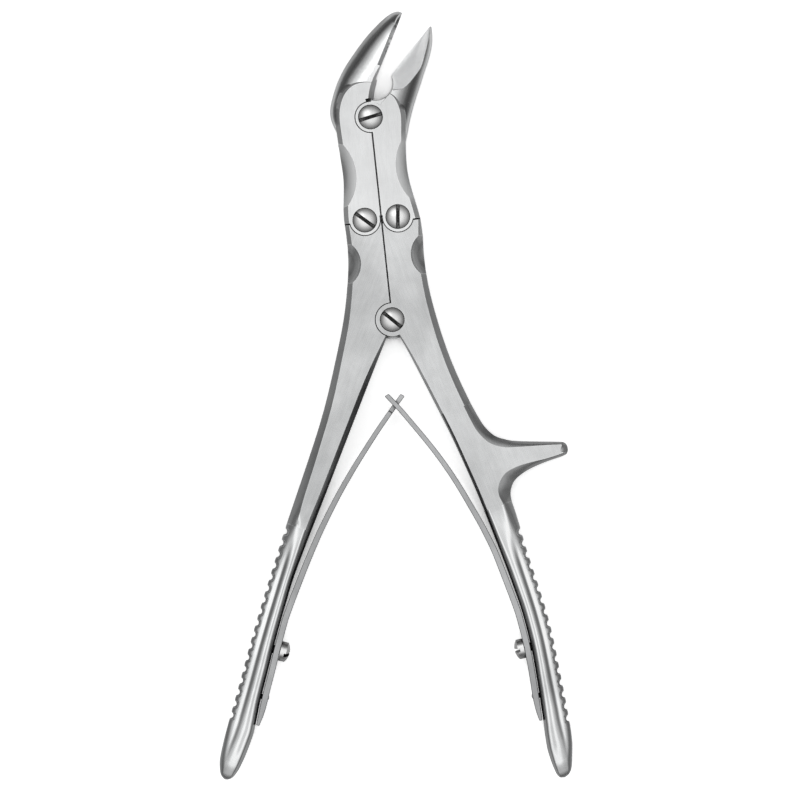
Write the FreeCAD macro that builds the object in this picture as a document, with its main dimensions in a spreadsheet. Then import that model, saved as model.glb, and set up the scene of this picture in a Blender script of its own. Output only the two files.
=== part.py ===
import FreeCAD, Part
import math
import os
import Sketcher
from FreeCAD import Placement, Rotation, Vector

# Double-action bone rongeur with angled cup jaws, lying flat and open.
# Millimetres. The frame is the instrument's own: the origin is on the handle pivot's
# axis at the underside, +Y runs towards the jaws, +X to the side of the finger spur
# and +Z out of the front face. Everything is drawn in the box frame, where the box
# joint stands upright, and is turned by box_lean when it is placed.

doc = FreeCAD.newDocument("rongeur")

# Driving dimensions, in millimetres and degrees

SIZES = [
    ("box_thickness", 12.0, "both half laps together"),
    ("pivot_span", 71.28, "handle pivot to jaw pivot"),
    ("link_span", 11.6, "left link pivot to right link pivot"),
    ("box_lean", 6.12, "box joint off the middle line of the handles, degrees"),
    ("lobe_radius", 5.3, "rounded lap end at the jaw pivot and the link pivots"),
    ("front_lobe_radius", 5.8, "rounded lap end at the handle pivot, front"),
    ("back_lobe_radius", 6.8, "rounded lap end at the handle pivot, back"),
    ("lobe_clearance", 0.28, "radial gap between a lap end and its seat"),
    ("lap_clearance", 0.1, "gap between the two half laps"),
    ("slit_width", 0.5, "gap between left and right levers when open"),
    ("parting_drop_left", 0.9, "parting line below the link pivot in front, above it behind"),
    ("parting_drop_right", 1.5, "parting line below the link pivot in front, above it behind"),
    ("parting_gap", 0.5, "gap between jaw and handle along the parting line"),
    ("corner_relief", 1.0, "inner corners of the laps stop this far from the link pivots"),
    ("crotch_relief_left", 0.95, "extra radius round the jaw pivot, front, where the jaws close"),
    ("crotch_relief_right", 1.8, "extra radius round the jaw pivot, behind, where the jaws close"),
    ("plate_bevel", 1.7, "bevel along the outer edges of the jaw plates"),
    ("waist_relief_radius", 16.9, "scoop at the waist of a jaw, on the face"),
    ("waist_relief_bite", 4.6, "scoop at the waist of a jaw, in from the outer edge"),
    ("neck_relief_radius", 8.6, "scoop at the neck of a handle, on the face"),
    ("neck_relief_bite", 4.5, "scoop at the neck of a handle, in from the outer edge"),
    ("shank_radius", 2.0, "pivot screw shank"),
    ("head_radius", 4.15, "pivot screw head"),
    ("head_depth", 2.2, "seat of the head below the front face"),
    ("head_dome", 1.1, "crown of the head above the front face"),
    ("screw_clearance", 0.04, "radial gap round a screw"),
    ("slot_width", 1.2, "driver slot"),
    ("slot_depth", 1.9, "driver slot below the top of the crown"),
    ("head_clearance", 0.16, "radial gap round a pivot screw's head"),
    ("head_shoulder", 0.15, "edge of the head below the front face"),
    ("rim_root_radius", 18.0, "jaw pivot to the root of the cutting rim"),
    ("rim_tip_radius", 38.4, "jaw pivot to the tip of the cutting rim"),
    ("rim_root_angle", 17.4, "left rim root off the box axis, degrees"),
    ("rim_tip_angle", 23.1, "left rim tip off the box axis, degrees"),
    ("bite_angle", 16.15, "left rim to right rim when open, degrees"),
    ("rim_slant", 5.6, "right rim set back at the front of its root"),
    ("cup_length", 17.4, "hollow along the rim"),
    ("cup_depth_left", 4.4, "hollow away from the rim"),
    ("cup_depth_right", 3.6, "hollow away from the rim"),
    ("cup_width_left", 8.2, "hollow across the thickness"),
    ("cup_width_right", 11.0, "hollow across the thickness, open to the front"),
    ("cup_shift_right", 1.5, "middle of the hollow in front of the middle of the jaw"),
    ("cup_tip_wall", 1.2, "wall beyond the hollow at the tip"),
    ("handle_angle_left", 19.6, "left handle off the middle line, degrees"),
    ("handle_angle_right", 20.3, "right handle off the middle line, degrees"),
    ("handle_length", 171.4, "handle pivot to handle end"),
    ("grip_thickness", 9.4, "handle at the grip, across its flat side"),
    ("flat_end", 74.0, "end of the flat faces, from the handle pivot"),
    ("notch_count", 17, "filed notches along each grip"),
    ("notch_pitch", 4.18, "notch to notch"),
    ("notch_start_left", 82.4, "first notch from the handle pivot"),
    ("notch_start_right", 85.3, "first notch from the handle pivot"),
    ("notch_radius", 1.1, "round file that cut the notches"),
    ("notch_depth", 1.0, "notch at the outer edge"),
    ("notch_lean", 16, "path of the file round the outer edge"),
    ("spur_reach", 42.1, "end of the finger spur from the handle's own axis"),
    ("spur_bevel", 2.0, "bevel round the finger spur"),
    ("spring_width", 6.4, "leaf spring, across the thickness of the handle"),
    ("spring_root", 2.2, "leaf thickness where it is clamped"),
    ("spring_tip", 1.65, "leaf thickness at the free end"),
    ("spring_gap", 0.3, "leaf to handle where it is clamped"),
    ("spring_foot", 149.5, "lower end of the leaf from the handle pivot"),
    ("tongue_width", 2.6, "tongue of the left leaf"),
    ("tongue_length", 7.0, "tongue of the left leaf"),
    ("leaf_slot_play", 0.5, "slot of the right leaf, wider than the tongue"),
    ("leaf_slot_length", 7.6, "slot of the right leaf"),
    ("leaf_end_bar", 1.9, "metal beyond the slot"),
    ("leaf_screw_left", 122.6, "spring screw from the handle pivot"),
    ("leaf_screw_right", 124.2, "spring screw from the handle pivot"),
    ("leaf_shank_radius", 1.5, "spring screw shank"),
    ("leaf_thread_length", 5.0, "spring screw inside the handle"),
    ("leaf_head_radius", 3.5, "spring screw head"),
    ("leaf_head_height", 3.4, "spring screw head"),
    ("leaf_head_dome", 1.2, "crown within the height of the spring screw head"),
    ("leaf_seat_gap", 0.06, "spring screw head off the leaf"),
    ("hole_end_gap", 0.3, "screw and pin ends off the bottom of their holes"),
    ("pin_radius", 0.9, "pin that keeps the leaf from turning"),
    ("pin_depth", 3.5, "leaf pin inside the handle"),
    ("pin_dome", 0.3, "crown of the leaf pin"),
    ("pin_step", 17.0, "leaf pin below the spring screw"),
]

sheet = doc.addObject("Spreadsheet::Sheet", "Sizes")
for row, (alias, number, note) in enumerate(SIZES, start=1):
    sheet.set("A%d" % row, alias)
    sheet.set("B%d" % row, str(number))
    sheet.setAlias("B%d" % row, alias)
    sheet.set("C%d" % row, note)
doc.recompute()


def size(alias):
    return float(sheet.get(alias))


def linked(formula):
    """A sum of sheet cells, such as "pivot_span - 2 * lobe_radius", as an expression."""
    words = formula.split()
    return " ".join("Sizes." + word if word[0].isalpha() else word for word in words)


def amount(formula):
    """Value of a sum of products of sheet cells and numbers."""
    total = 0.0
    for term in formula.replace(" - ", " + -1 * ").split(" + "):
        product = 1.0
        for word in term.split(" * "):
            product *= size(word) if word[0].isalpha() else float(word)
        total += product
    return total


PATHS = {"at_x": "Placement.Base.x", "at_y": "Placement.Base.y", "at_z": "Placement.Base.z"}


def bind(thing, **formulas):
    """Tie properties to the sheet; at_x, at_y and at_z tie the place."""
    for name, formula in formulas.items():
        thing.setExpression(PATHS.get(name, name), linked(formula))
    return thing


def cylinder(name, radius, low, high, at_x="0", at_y="0"):
    rod = doc.addObject("Part::Cylinder", name)
    return bind(rod, Radius=radius, Height=high + " - ( " + low + " )", at_x=at_x, at_y=at_y, at_z=low)


def block(name, x_span, y_span, z_span):
    """Box between two formulas on each axis."""
    brick = doc.addObject("Part::Box", name)
    sides = {}
    for side, place, (low, high) in zip(("Length", "Width", "Height"), PATHS, (x_span, y_span, z_span)):
        sides[side] = high + " - ( " + low + " )"
        sides[place] = low
    return bind(brick, **sides)


def feature(name, shape):
    made = doc.addObject("Part::Feature", name)
    made.Shape = shape
    return made


def fused(name, pieces):
    union = doc.addObject("Part::MultiFuse", name)
    union.Shapes = pieces
    return union


def planed(name, base):
    """Base between the two flat faces of the box joint."""
    flat = doc.addObject("Part::MultiCommon", name)
    flat.Shapes = [base, block(name + "_slab", ("-150", "150"), ("-250", "150"), ("0", "box_thickness"))]
    return flat


def cut(name, base, tools):
    """Base less a group of tools."""
    left_over = doc.addObject("Part::Cut", name)
    left_over.Base = base
    left_over.Tool = tools[0] if len(tools) == 1 else fused(name + "_tools", tools)
    return left_over


# Places and levels that several pieces share

THICK = size("box_thickness")
MID = THICK / 2
SPAN = size("pivot_span")
UP = Vector(0, 0, 1)
FAR = "300"
BELOW = "-1"
ABOVE = "box_thickness + 1"
FRONT_FLOOR = "0.5 * box_thickness - 0.5 * lap_clearance"
BACK_ROOF = "0.5 * box_thickness + 0.5 * lap_clearance"
LINK_Y = "0.5 * pivot_span"
LINK_X = {"left": "-0.5 * link_span", "right": "0.5 * link_span"}
SIGN = {"left": -1, "right": 1}


def smooth(points, at):
    """Height at one station of a smooth curve through a few points, never overshooting."""
    last = len(points) - 1
    steps = [(points[i + 1][1] - points[i][1]) / (points[i + 1][0] - points[i][0]) for i in range(last)]
    slopes = [steps[0]]
    for before, after in zip(steps, steps[1:]):
        slopes.append(0.0 if before * after <= 0 else 2 * before * after / (before + after))
    slopes.append(steps[-1])
    at = min(max(at, points[0][0]), points[-1][0])
    i = max(k for k in range(last) if points[k][0] <= at)
    run = points[i + 1][0] - points[i][0]
    t = (at - points[i][0]) / run
    return (
        (2 * t**3 - 3 * t**2 + 1) * points[i][1]
        + (t**3 - 2 * t**2 + t) * run * slopes[i]
        + (3 * t**2 - 2 * t**3) * points[i + 1][1]
        + (t**3 - t**2) * run * slopes[i + 1]
    )


def spline(points):
    curve = Part.BSplineCurve()
    curve.interpolate([Vector(*point) for point in points])
    return curve.toShape()


def even_spline(points):
    """Spline with its knots in step, so that a loft through many of them stays light."""
    curve = Part.BSplineCurve()
    steps = [index / (len(points) - 1) for index in range(len(points))]
    curve.interpolate(Points=[Vector(*point) for point in points], Parameters=steps)
    return curve.toShape()


def polyline(points):
    return [Part.makeLine(Vector(*a), Vector(*b)) for a, b in zip(points, points[1:])]


def prism(edges, low, high):
    face = Part.Face(Part.Wire(edges))
    face.translate(UP * low)
    return face.extrude(UP * (high - low))


def bevelled(solid, drawn, bevel):
    """Chamfer the upper and lower edges of a prism that follow the drawn edges."""
    chosen = []
    for edge in solid.Edges:
        ends = [vertex.Point.z for vertex in edge.Vertexes]
        middle = edge.valueAt((edge.FirstParameter + edge.LastParameter) / 2)
        foot = Part.Vertex(middle.x, middle.y, 0)
        if max(ends) - min(ends) < 0.01 and min(d.distToShape(foot)[0] for d in drawn) < 0.01:
            chosen.append(edge)
    return solid.makeChamfer(bevel, chosen)


def scoops(name, side, station, half_width, relief):
    """Hollow-ground scoops at an outer edge, front and back, that leave the middle of the edge."""
    radius = size(relief + "_radius")
    edge_radius = radius - size(relief + "_bite")
    ridge = 0.3
    lift = (radius**2 - edge_radius**2 + MID**2 - ridge**2) / (2 * (MID - ridge))
    balls = []
    for word, direction in (("front", 1), ("back", -1)):
        ball = doc.addObject("Part::Sphere", name + "_" + word)
        ball.Radius = math.hypot(radius, lift - MID)
        ball.Placement.Base = Vector(SIGN[side] * (half_width + edge_radius), station, MID + direction * lift)
        balls.append(ball)
    return balls


def pivot_hole(name, at_x, at_y, with_seat):
    """Hole of a pivot screw, with the seat of its head in the piece at the front."""
    tools = [cylinder(name + "_hole", "shank_radius + screw_clearance", BELOW, ABOVE, at_x, at_y)]
    if with_seat:
        floor = "box_thickness - head_depth"
        around = "head_radius + head_clearance"
        tools.append(cylinder(name + "_seat", around, floor, ABOVE, at_x, at_y))
    return tools


# Jaws: a flat plate with half laps, and a rounded beak that grows out of it

# outer edge of each plate, from its lower end over the arc where the beak begins
PLATE = {
    "left": [
        (-12.9, 33), (-12.8, 40.7), (-11.8, 50), (-12, 58), (-12.4, 67.5), (-12.4, 72.6), (-11.7, 76.5),
        (-9.4, 81.2), (-5.5, 84.4), (-1.8, 85.2), (2.1, 84.8), (5, 83.2),
    ],
    "right": [
        (13.7, 33), (12.4, 40.8), (10.9, 51), (11.1, 58), (11.9, 66), (12.2, 72.1), (11.5, 75.4),
        (10.4, 78), (8.6, 79.9),
    ],
}
# the rest of each plate's outline, towards the slit
PLATE_INSIDE = {
    "left": [(5, 83.2), (5, SPAN), (0, SPAN), (0, 33), (-12.9, 33)],
    "right": [(8.6, 79.9), (0, SPAN), (0, 33), (13.7, 33)],
}
# from the rim plane to the back of the beak, by distance from the rim's root
BEAK_DEPTH = {
    "left": [
        (-31, 3.9), (-26, 7), (-21, 10.1), (-17, 11.4), (-12, 11.95), (-7, 11.8), (0, 10.55), (7, 8.75),
        (12, 6.9), (16, 5), (18.5, 3.35), (19.5, 2.2), (20, 1.0),
    ],
    "right": [
        (-21, 19.6), (-17, 18.6), (-10, 15.1), (-5, 12.8), (1, 10.5), (6, 8.6), (11, 6.75), (15, 4.75),
        (17.5, 2.9), (19, 1.55), (20, 0.5),
    ],
}
BEAK_HALF_THICKNESS = [
    (-31, MID - 0.1), (-17, MID - 0.1), (-5, MID - 0.2), (3, 5.5), (11, 5), (15.5, 4.2), (18, 3),
    (19.3, 1.9), (20, 1.0),
]
# 2 is an ellipse, more is squarer
BEAK_SQUARENESS = [(-31, 3.2), (-17, 2.9), (-6, 2.3), (2, 2.1), (20, 2)]
BEAK_STATIONS = {
    "left": [-31, -24, -17, -11, -5, 1, 7, 12, 16, 18.4, 19.5],
    "right": [-21, -17, -11, -5, 1, 7, 12, 16, 18.4, 19.5],
}


def rim_point(radius, angle):
    turn = math.radians(angle)
    return Vector(radius * math.sin(turn), SPAN + radius * math.cos(turn), MID)


def rim(side):
    """Root of a cutting rim, its direction, its length and the way out of the beak's back."""
    turned = size("bite_angle") if side == "right" else 0
    root = rim_point(size("rim_root_radius"), size("rim_root_angle") + turned)
    tip = rim_point(size("rim_tip_radius"), size("rim_tip_angle") + turned)
    along = (tip - root).normalize()
    return root, along, (tip - root).Length, along.cross(UP) * SIGN[side]


def beak(side):
    """Loft of rounded sections, flat on the rim plane, from inside the plate to the tip."""
    root, along, length, out = rim(side)
    stretch = length / 20
    sections = []
    for station in BEAK_STATIONS[side]:
        depth = smooth(BEAK_DEPTH[side], station)
        half = smooth(BEAK_HALF_THICKNESS, station)
        power = 2 / smooth(BEAK_SQUARENESS, station)
        points = []
        for step in range(9):
            turn = math.pi * (step / 8 - 0.5)
            across = depth * abs(math.cos(turn)) ** power if 0 < step < 8 else 0
            up = math.copysign(half * abs(math.sin(turn)) ** power, turn)
            points.append(root + along * (station * stretch) + out * across + UP * up)
        sections.append(Part.Wire([even_spline(points), Part.makeLine(points[-1], points[0])]))
    return Part.makeLoft(sections, True, False)


def cup(side):
    """Hollow of the jaw, an ellipsoid centred near the rim plane."""
    root, along, length, out = rim(side)
    hollow = doc.addObject("Part::Ellipsoid", "jaw_" + side + "_cup")
    bind(hollow, Radius1="0.5 * cup_width_" + side, Radius2="0.5 * cup_length", Radius3="cup_depth_" + side)
    centre = root + along * (length - size("cup_tip_wall") - size("cup_length") / 2)
    if side == "right":
        centre += UP * size("cup_shift_right")
    hollow.Placement = Placement(centre, Rotation(UP, math.degrees(math.atan2(along.y, along.x))))
    return hollow


def rim_slant():
    """Slanted cut that sets the right rim back towards the front, so that its hollow faces forward."""
    root, along, length, out = rim("right")
    tip = root + along * length
    back = root - UP * (MID - 1)
    front = root + UP * (MID - 1) + out * size("rim_slant")
    normal = (front - back).cross(tip - back).normalize()
    normal = -normal if normal.dot(out) > 0 else normal
    beyond = Part.makeBox(80, 80, 40, Vector(-40, -40, 0))
    beyond.Placement = Placement(tip, Rotation(UP, normal))
    # the cut runs out in an arc beside the notch
    runout = [(-8.6, -2), (-7.9, 1), (-5.9, 3), (-3.4, 4.3), (0, 4.75), (4, 5.6), (24, 14)]
    ground = [root - UP * MID + along * station + out * off for station, off in runout]
    far = [ground[-1], ground[-1] - out * 22, ground[0] - out * 6, ground[0]]
    region = prism([spline(ground)] + polyline(far), 0, THICK + 1)
    return feature("jaw_right_rim_slant", beyond.common(region))


def mouth(side):
    """Space above the jaw pivot: a leaning wall on the left jaw, a round notch in the right one."""
    if side == "left":
        wall = doc.addObject("Part::Cylinder", "jaw_left_mouth")
        wall.Radius = 23.3
        wall.Height = 60
        lean = Rotation(Vector(0, 1, 0), -9)
        wall.Placement = Placement(Vector(23.1, SPAN + 2.3, THICK) - lean.multVec(UP * 30), lean)
        return wall
    notch = doc.addObject("Part::Cone", "jaw_right_mouth")
    notch.Radius1 = 5.8
    notch.Radius2 = 6.5
    notch.Height = THICK + 2
    notch.Placement.Base = Vector(3.04, SPAN + 11.9, -1)
    return notch


def beyond_slit(side):
    """Reach across, from a lever's own edge of the slit."""
    return ("-0.5 * slit_width", "40") if side == "left" else ("-40", "0.5 * slit_width")


def beside_link(side):
    """Reach across, from the link pivot to the middle."""
    return (LINK_X["left"], "0") if side == "left" else ("0", LINK_X["right"])


def jaw(side):
    name = "jaw_" + side
    link_x = LINK_X[side]
    outer = spline([(x, y, 0) for x, y in PLATE[side]])
    inner = polyline([(x, y, 0) for x, y in PLATE_INSIDE[side]])
    flat = feature(name + "_plate", bevelled(prism([outer] + inner, 0, THICK), [outer], size("plate_bevel")))
    blank = fused(name + "_blank", [flat, feature(name + "_beak", beak(side))])
    front_end = LINK_Y + " - parting_drop_" + side + " + 0.5 * parting_gap"
    back_end = LINK_Y + " + parting_drop_" + side + " + 0.5 * parting_gap"
    corner_end = LINK_Y + " + corner_relief"
    trims = [
        block(name + "_slit", beyond_slit(side), ("0", "pivot_span"), (BELOW, ABOVE)),
        block(name + "_front_end", ("-40", "40"), ("0", front_end), (BELOW, ABOVE)),
        block(name + "_back_end", ("-40", "40"), ("0", back_end), (BELOW, BACK_ROOF)),
        block(name + "_corner", beside_link(side), ("0", corner_end), (BELOW, ABOVE)),
        mouth(side),
        cup(side),
    ]
    trimmed = cut(name + "_trimmed", blank, trims)
    if side == "right":
        trimmed = cut(name + "_slanted", trimmed, [rim_slant()])
    lobes = [
        cylinder(name + "_link_lobe", "lobe_radius", "0", "box_thickness", link_x, LINK_Y),
        cylinder(name + "_pivot_lobe", "lobe_radius", "0", "box_thickness", "0", "pivot_span"),
    ]
    lobed = fused(name + "_lobed", [trimmed] + lobes)
    seat = "lobe_radius + lobe_clearance"
    laps = (FRONT_FLOOR, ABOVE) if side == "left" else (BELOW, BACK_ROOF)
    tools = [
        cylinder(name + "_link_seat", seat, BELOW, BACK_ROOF, link_x, LINK_Y),
        cylinder(name + "_pivot_seat", seat, laps[0], laps[1], "0", "pivot_span"),
    ]
    around = seat + " + crotch_relief_" + side
    crotch = cylinder(name + "_crotch", around, laps[0], laps[1], "0", "pivot_span")
    crotch.Angle = 30 if side == "left" else 60
    crotch.Placement.Rotation = Rotation(UP, 70 if side == "left" else 40)
    tools.append(crotch)
    tools += pivot_hole(name + "_link", link_x, LINK_Y, True)
    tools += pivot_hole(name + "_pivot", "0", "pivot_span", side == "right")
    waist = 11.6 if side == "left" else 11.5
    tools += scoops(name + "_scoop", side, SPAN - 19, waist, "waist_relief")
    return cut(name, lobed, tools)


# Handles: one loft each from the box joint to the rounded end

# outer and inner side of each handle by distance from the handle pivot
OUTER = {
    "left": [
        (-34, 31.2), (-16, 22.1), (-5, 18.5), (6, 16), (23, 13.5), (46, 11.45), (84, 10.75), (102, 10.1),
        (119, 9.2), (137, 7.8), (151, 6.8), (159, 6.1),
    ],
    "right": [
        (-36, 24.4), (-22.4, 19.8), (-11.6, 16.9), (0, 15.2), (16, 14.4), (30, 14.8), (44, 16.5), (60, 17.4),
        (76, 17.2), (92, 16.3), (110, 15.6), (120, 14.8), (136, 12.4), (150, 10.1), (160, 8.0),
    ],
}
INNER = {
    "left": [
        (-34, -6), (0, -0.6), (9, -0.15), (30, 0.5), (60, 1.3), (84, 2), (96, 2.2), (105, 1.8), (119, 0.9),
        (130, -0.2), (141, -1.25), (149, -2.4), (154, -2.95), (160, -2.85),
    ],
    "right": [
        (-36, -6), (0, -1), (8, 0.75), (22, 2.6), (40, 4.7), (60, 6.4), (80, 7.15), (97, 7.4), (108, 7.3),
        (122, 6.2), (136, 3.8), (150, 0.9), (156, -0.5), (161, -1.3),
    ],
}
# rounded end, by distance back from the end
END_OUTER = {"left": [(6.4, 5.3), (2.6, 3.9), (0.4, 1.7)], "right": [(6.4, 6.2), (2.6, 4.2), (0.4, 1.9)]}
END_INNER = {"left": [(6.4, -2.3), (2.6, -1.2), (0.4, 0.1)], "right": [(6.4, -1.35), (2.6, -0.9), (0.4, 0.3)]}
OUTER_BEVEL = [
    (-36, 1.8), (0, 2.3), (40, 2.7), (70, 3.1), (92, 3.6), (150, 3.4), (160, 2.6), (167, 1.6), (171, 0.5),
]
INNER_BEVEL = {
    "left": [(-36, 0.3), (6, 0.4), (18, 1.9), (60, 2.1), (150, 2.0), (160, 1.8), (167, 1.2), (171, 0.4)],
    "right": [(-36, 0.3), (6, 0.4), (18, 1.0), (60, 1.1), (90, 1.5), (160, 1.4), (167, 1.0), (171, 0.4)],
}
# height of the upright strip along the outer edge and the inner edge, from the middle
OUTER_STRIP = [(-36, MID - 2.4), (50, MID - 2.6), (74, 2.4), (95, 1.4), (150, 1.4), (162, 1.0), (171, 0.3)]
INNER_STRIP = [(-36, MID - 1.6), (50, MID - 2.2), (80, 2.9), (150, 2.6), (162, 1.6), (171, 0.3)]
# the crown of the grip and the crease beside it
CROWN = [(-36, 0), (70, 0), (80, 0.12), (95, 0.4), (155, 0.4), (171, 0.1)]
CREASE = [(-36, 0), (70, 0), (80, 0.2), (95, 0.6), (155, 0.6), (171, 0.1)]
BULGE = [(-36, 0.05), (60, 0.1), (95, 0.45), (160, 0.4), (171, 0.1)]
HANDLE_STATIONS = [
    -34, -22, -10, 2, 12, 24, 38, 54, 66, 72, 79, 87, 98, 114, 132, 146, 155, 162, 167, 169.7, 171,
]


def handle_frame(side):
    """Direction down the handle and direction out of its grip side, in the box frame."""
    lean = size("box_lean") if side == "left" else -size("box_lean")
    turn = math.radians(size("handle_angle_" + side) + lean)
    return (Vector(SIGN[side] * math.sin(turn), -math.cos(turn), 0),
            Vector(SIGN[side] * math.cos(turn), math.sin(turn), 0))


def with_end(points, end_points):
    """Side curve of a handle with its rounded end."""
    return points + [(size("handle_length") - back, off) for back, off in end_points]


def outer_side(side, station):
    return smooth(with_end(OUTER[side], END_OUTER[side]), station)


def inner_side(side, station):
    return smooth(with_end(INNER[side], END_INNER[side]), station)


def half_thickness(station):
    """Over the flat faces as far as flat_end, then the thinner grip, then the rounded end."""
    grip = size("grip_thickness") / 2
    flat = size("flat_end")
    end = size("handle_length")
    curve = [
        (-40, MID + 0.25), (flat - 12, MID + 0.25), (flat, MID + 0.05), (flat + 14, grip + 0.45),
        (flat + 30, grip + 0.05),
        (end - 26, grip - 0.05), (end - 12, grip - 0.5), (end - 6, grip - 1.3), (end - 2.5, grip - 2.5),
        (end - 0.4, 0.9),
    ]
    return smooth(curve, station)


def handle_section(side, station):
    """Bevelled section with a crowned front and back, as one closed wire."""
    down, out = handle_frame(side)
    outer, inner = outer_side(side, station), inner_side(side, station)
    half = half_thickness(station)
    crease_at = outer - smooth(OUTER_BEVEL, station)
    crease = half - smooth(CREASE, station)
    face_at = inner + smooth(INNER_BEVEL[side], station)
    strip_out = min(smooth(OUTER_STRIP, station), 0.8 * crease)
    strip_in = min(smooth(INNER_STRIP, station), 0.8 * half)
    bulge = smooth(BULGE, station)
    middle = ((crease_at + face_at) / 2, (crease + half) / 2 + smooth(CROWN, station))
    shoulder = ((crease_at + outer) / 2 + 0.7 * bulge, (crease + strip_out) / 2 + 0.7 * bulge)
    front = [(inner, strip_in), (face_at, half), middle, (crease_at, crease), shoulder, (outer, strip_out)]

    def place(point, direction=1):
        return down * station + out * point[0] + UP * (MID + direction * point[1])

    upper = [place(point) for point in front]
    lower = [place(point, -1) for point in front]
    edges = [
        Part.makeLine(upper[0], upper[1]),
        even_spline(upper[1:4]),
        even_spline(upper[3:6]),
        Part.makeLine(upper[5], lower[5]),
        even_spline(lower[5:2:-1]),
        even_spline(lower[3:0:-1]),
        Part.makeLine(lower[1], lower[0]),
        Part.makeLine(lower[0], upper[0]),
    ]
    return Part.Wire(edges)


# finger spur, as distance from the handle pivot and distance out of the handle's axis
SPUR_TOP = [(28, 13.6), (38, 15.4), (46.3, 17.4), (50.3, 19.4), (53, 22.6), (54.9, 26.1), (58.2, 34.4)]
SPUR_UNDER = [(65.3, 33.7), (65.6, 27.8), (66.4, 23.7), (67.7, 20.6), (69.7, 18.7), (73, 16.9), (77, 14.8)]


def spur():
    """Finger spur of the right handle, bevelled all round."""
    down, out = handle_frame("right")
    reach = size("spur_reach")
    end = [(60.9, reach - 0.9), (62.6, reach), (64.6, reach - 0.5), (65.5, reach - 2.6)]

    def place(points):
        return [down * station + out * off for station, off in points]

    edges = [spline(place(part)) for part in (SPUR_TOP + end[:1], end, end[-1:] + SPUR_UNDER)]
    inside = polyline(place([SPUR_UNDER[-1], (70, 12), (36, 11), SPUR_TOP[0]]))
    return bevelled(prism(edges + inside, 0, THICK), edges, size("spur_bevel"))


def notches(side):
    """Files that cut the notches, two for each: one over the front edge and one over the back edge."""
    down, out = handle_frame(side)
    files = []
    for index in range(int(size("notch_count"))):
        station = size("notch_start_" + side) + index * size("notch_pitch")
        off = outer_side(side, station) - size("notch_depth") + size("notch_radius")
        for direction in (1, -1):
            lean = math.radians(size("notch_lean"))
            axis = UP * (direction * math.cos(lean)) - out * math.sin(lean)
            file = doc.addObject("Part::Cylinder", "handle_%s_notch_%02d_%s" % (
                side, index + 1, "front" if direction == 1 else "back"))
            bind(file, Radius="notch_radius", Height="0.6 * box_thickness")
            centre = down * station + out * off + UP * MID
            file.Placement = Placement(centre - axis * 0.5, Rotation(UP, axis))
            files.append(file)
    return files


def leaf_normal(side, station):
    """Foot of a perpendicular on the inner side, and the way off the handle there."""
    down, out = handle_frame(side)
    step = 0.5
    rise = inner_side(side, station + step) - inner_side(side, station - step)
    along = (down * (2 * step) + out * rise).normalize()
    foot = down * station + out * inner_side(side, station) + UP * MID
    away = along.cross(UP)
    return foot, away if away.dot(out) < 0 else -away


def drilled(name, side, station, radius, depth):
    """Blind hole in the inner side of a handle, through its leaf as well."""
    foot, away = leaf_normal(side, station)
    hole = doc.addObject("Part::Cylinder", name)
    bind(hole, Radius=radius + " + screw_clearance", Height=depth + " + 3")
    hole.Placement = Placement(foot + away * 3, Rotation(UP, -away))
    return hole


def leaf_holes(name, side):
    """Holes for the screw and the pin that hold a leaf."""
    screw_at = size("leaf_screw_" + side)
    return [
        drilled(name + "_screw_hole", side, screw_at, "leaf_shank_radius", "leaf_thread_length"),
        drilled(name + "_pin_hole", side, screw_at + size("pin_step"), "pin_radius", "pin_depth"),
    ]


def handle(side):
    name = "handle_" + side
    link_x = LINK_X[side]
    sections = [handle_section(side, at) for at in HANDLE_STATIONS]
    bar = feature(name + "_bar", Part.makeLoft(sections, True, False))
    front_end = LINK_Y + " - parting_drop_" + side + " - 0.5 * parting_gap"
    back_end = LINK_Y + " + parting_drop_" + side + " - 0.5 * parting_gap"
    corner_end = LINK_Y + " - corner_relief"
    trims = [
        block(name + "_slit", beyond_slit(side), ("0", FAR), (BELOW, ABOVE)),
        block(name + "_front_end", ("-60", "60"), (front_end, FAR), (FRONT_FLOOR, ABOVE)),
        block(name + "_back_end", ("-60", "60"), (back_end, FAR), (BELOW, ABOVE)),
        block(name + "_corner", beside_link(side), (corner_end, FAR), (BELOW, ABOVE)),
    ]
    blank = [cut(name + "_trimmed", planed(name + "_planed", bar), trims)]
    if side == "right":
        blank.append(feature("handle_right_spur", spur()))
    blank.append(cylinder(name + "_link_lobe", "lobe_radius", "0", "box_thickness", link_x, LINK_Y))
    if side == "left":
        blank.append(cylinder(name + "_pivot_lobe", "back_lobe_radius", "0", FRONT_FLOOR))
        pivot_seat = ("front_lobe_radius + lobe_clearance", FRONT_FLOOR, ABOVE)
    else:
        blank.append(cylinder(name + "_pivot_lobe", "front_lobe_radius", BACK_ROOF, "box_thickness"))
        pivot_seat = ("back_lobe_radius + lobe_clearance", BELOW, BACK_ROOF)
    tools = [
        cylinder(name + "_link_seat", "lobe_radius + lobe_clearance", FRONT_FLOOR, ABOVE, link_x, LINK_Y),
        cylinder(name + "_pivot_seat", *pivot_seat),
    ]
    tools += leaf_holes(name, side)
    tools += pivot_hole(name + "_link", link_x, LINK_Y, False)
    tools += pivot_hole(name + "_pivot", "0", "0", side == "right")
    neck = 13.2 if side == "left" else 13.4
    tools += scoops(name + "_scoop", side, 21.4, neck, "neck_relief")
    tools += notches(side)
    return cut(name, fused(name + "_lobed", blank), tools)


# Leaf springs

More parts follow.
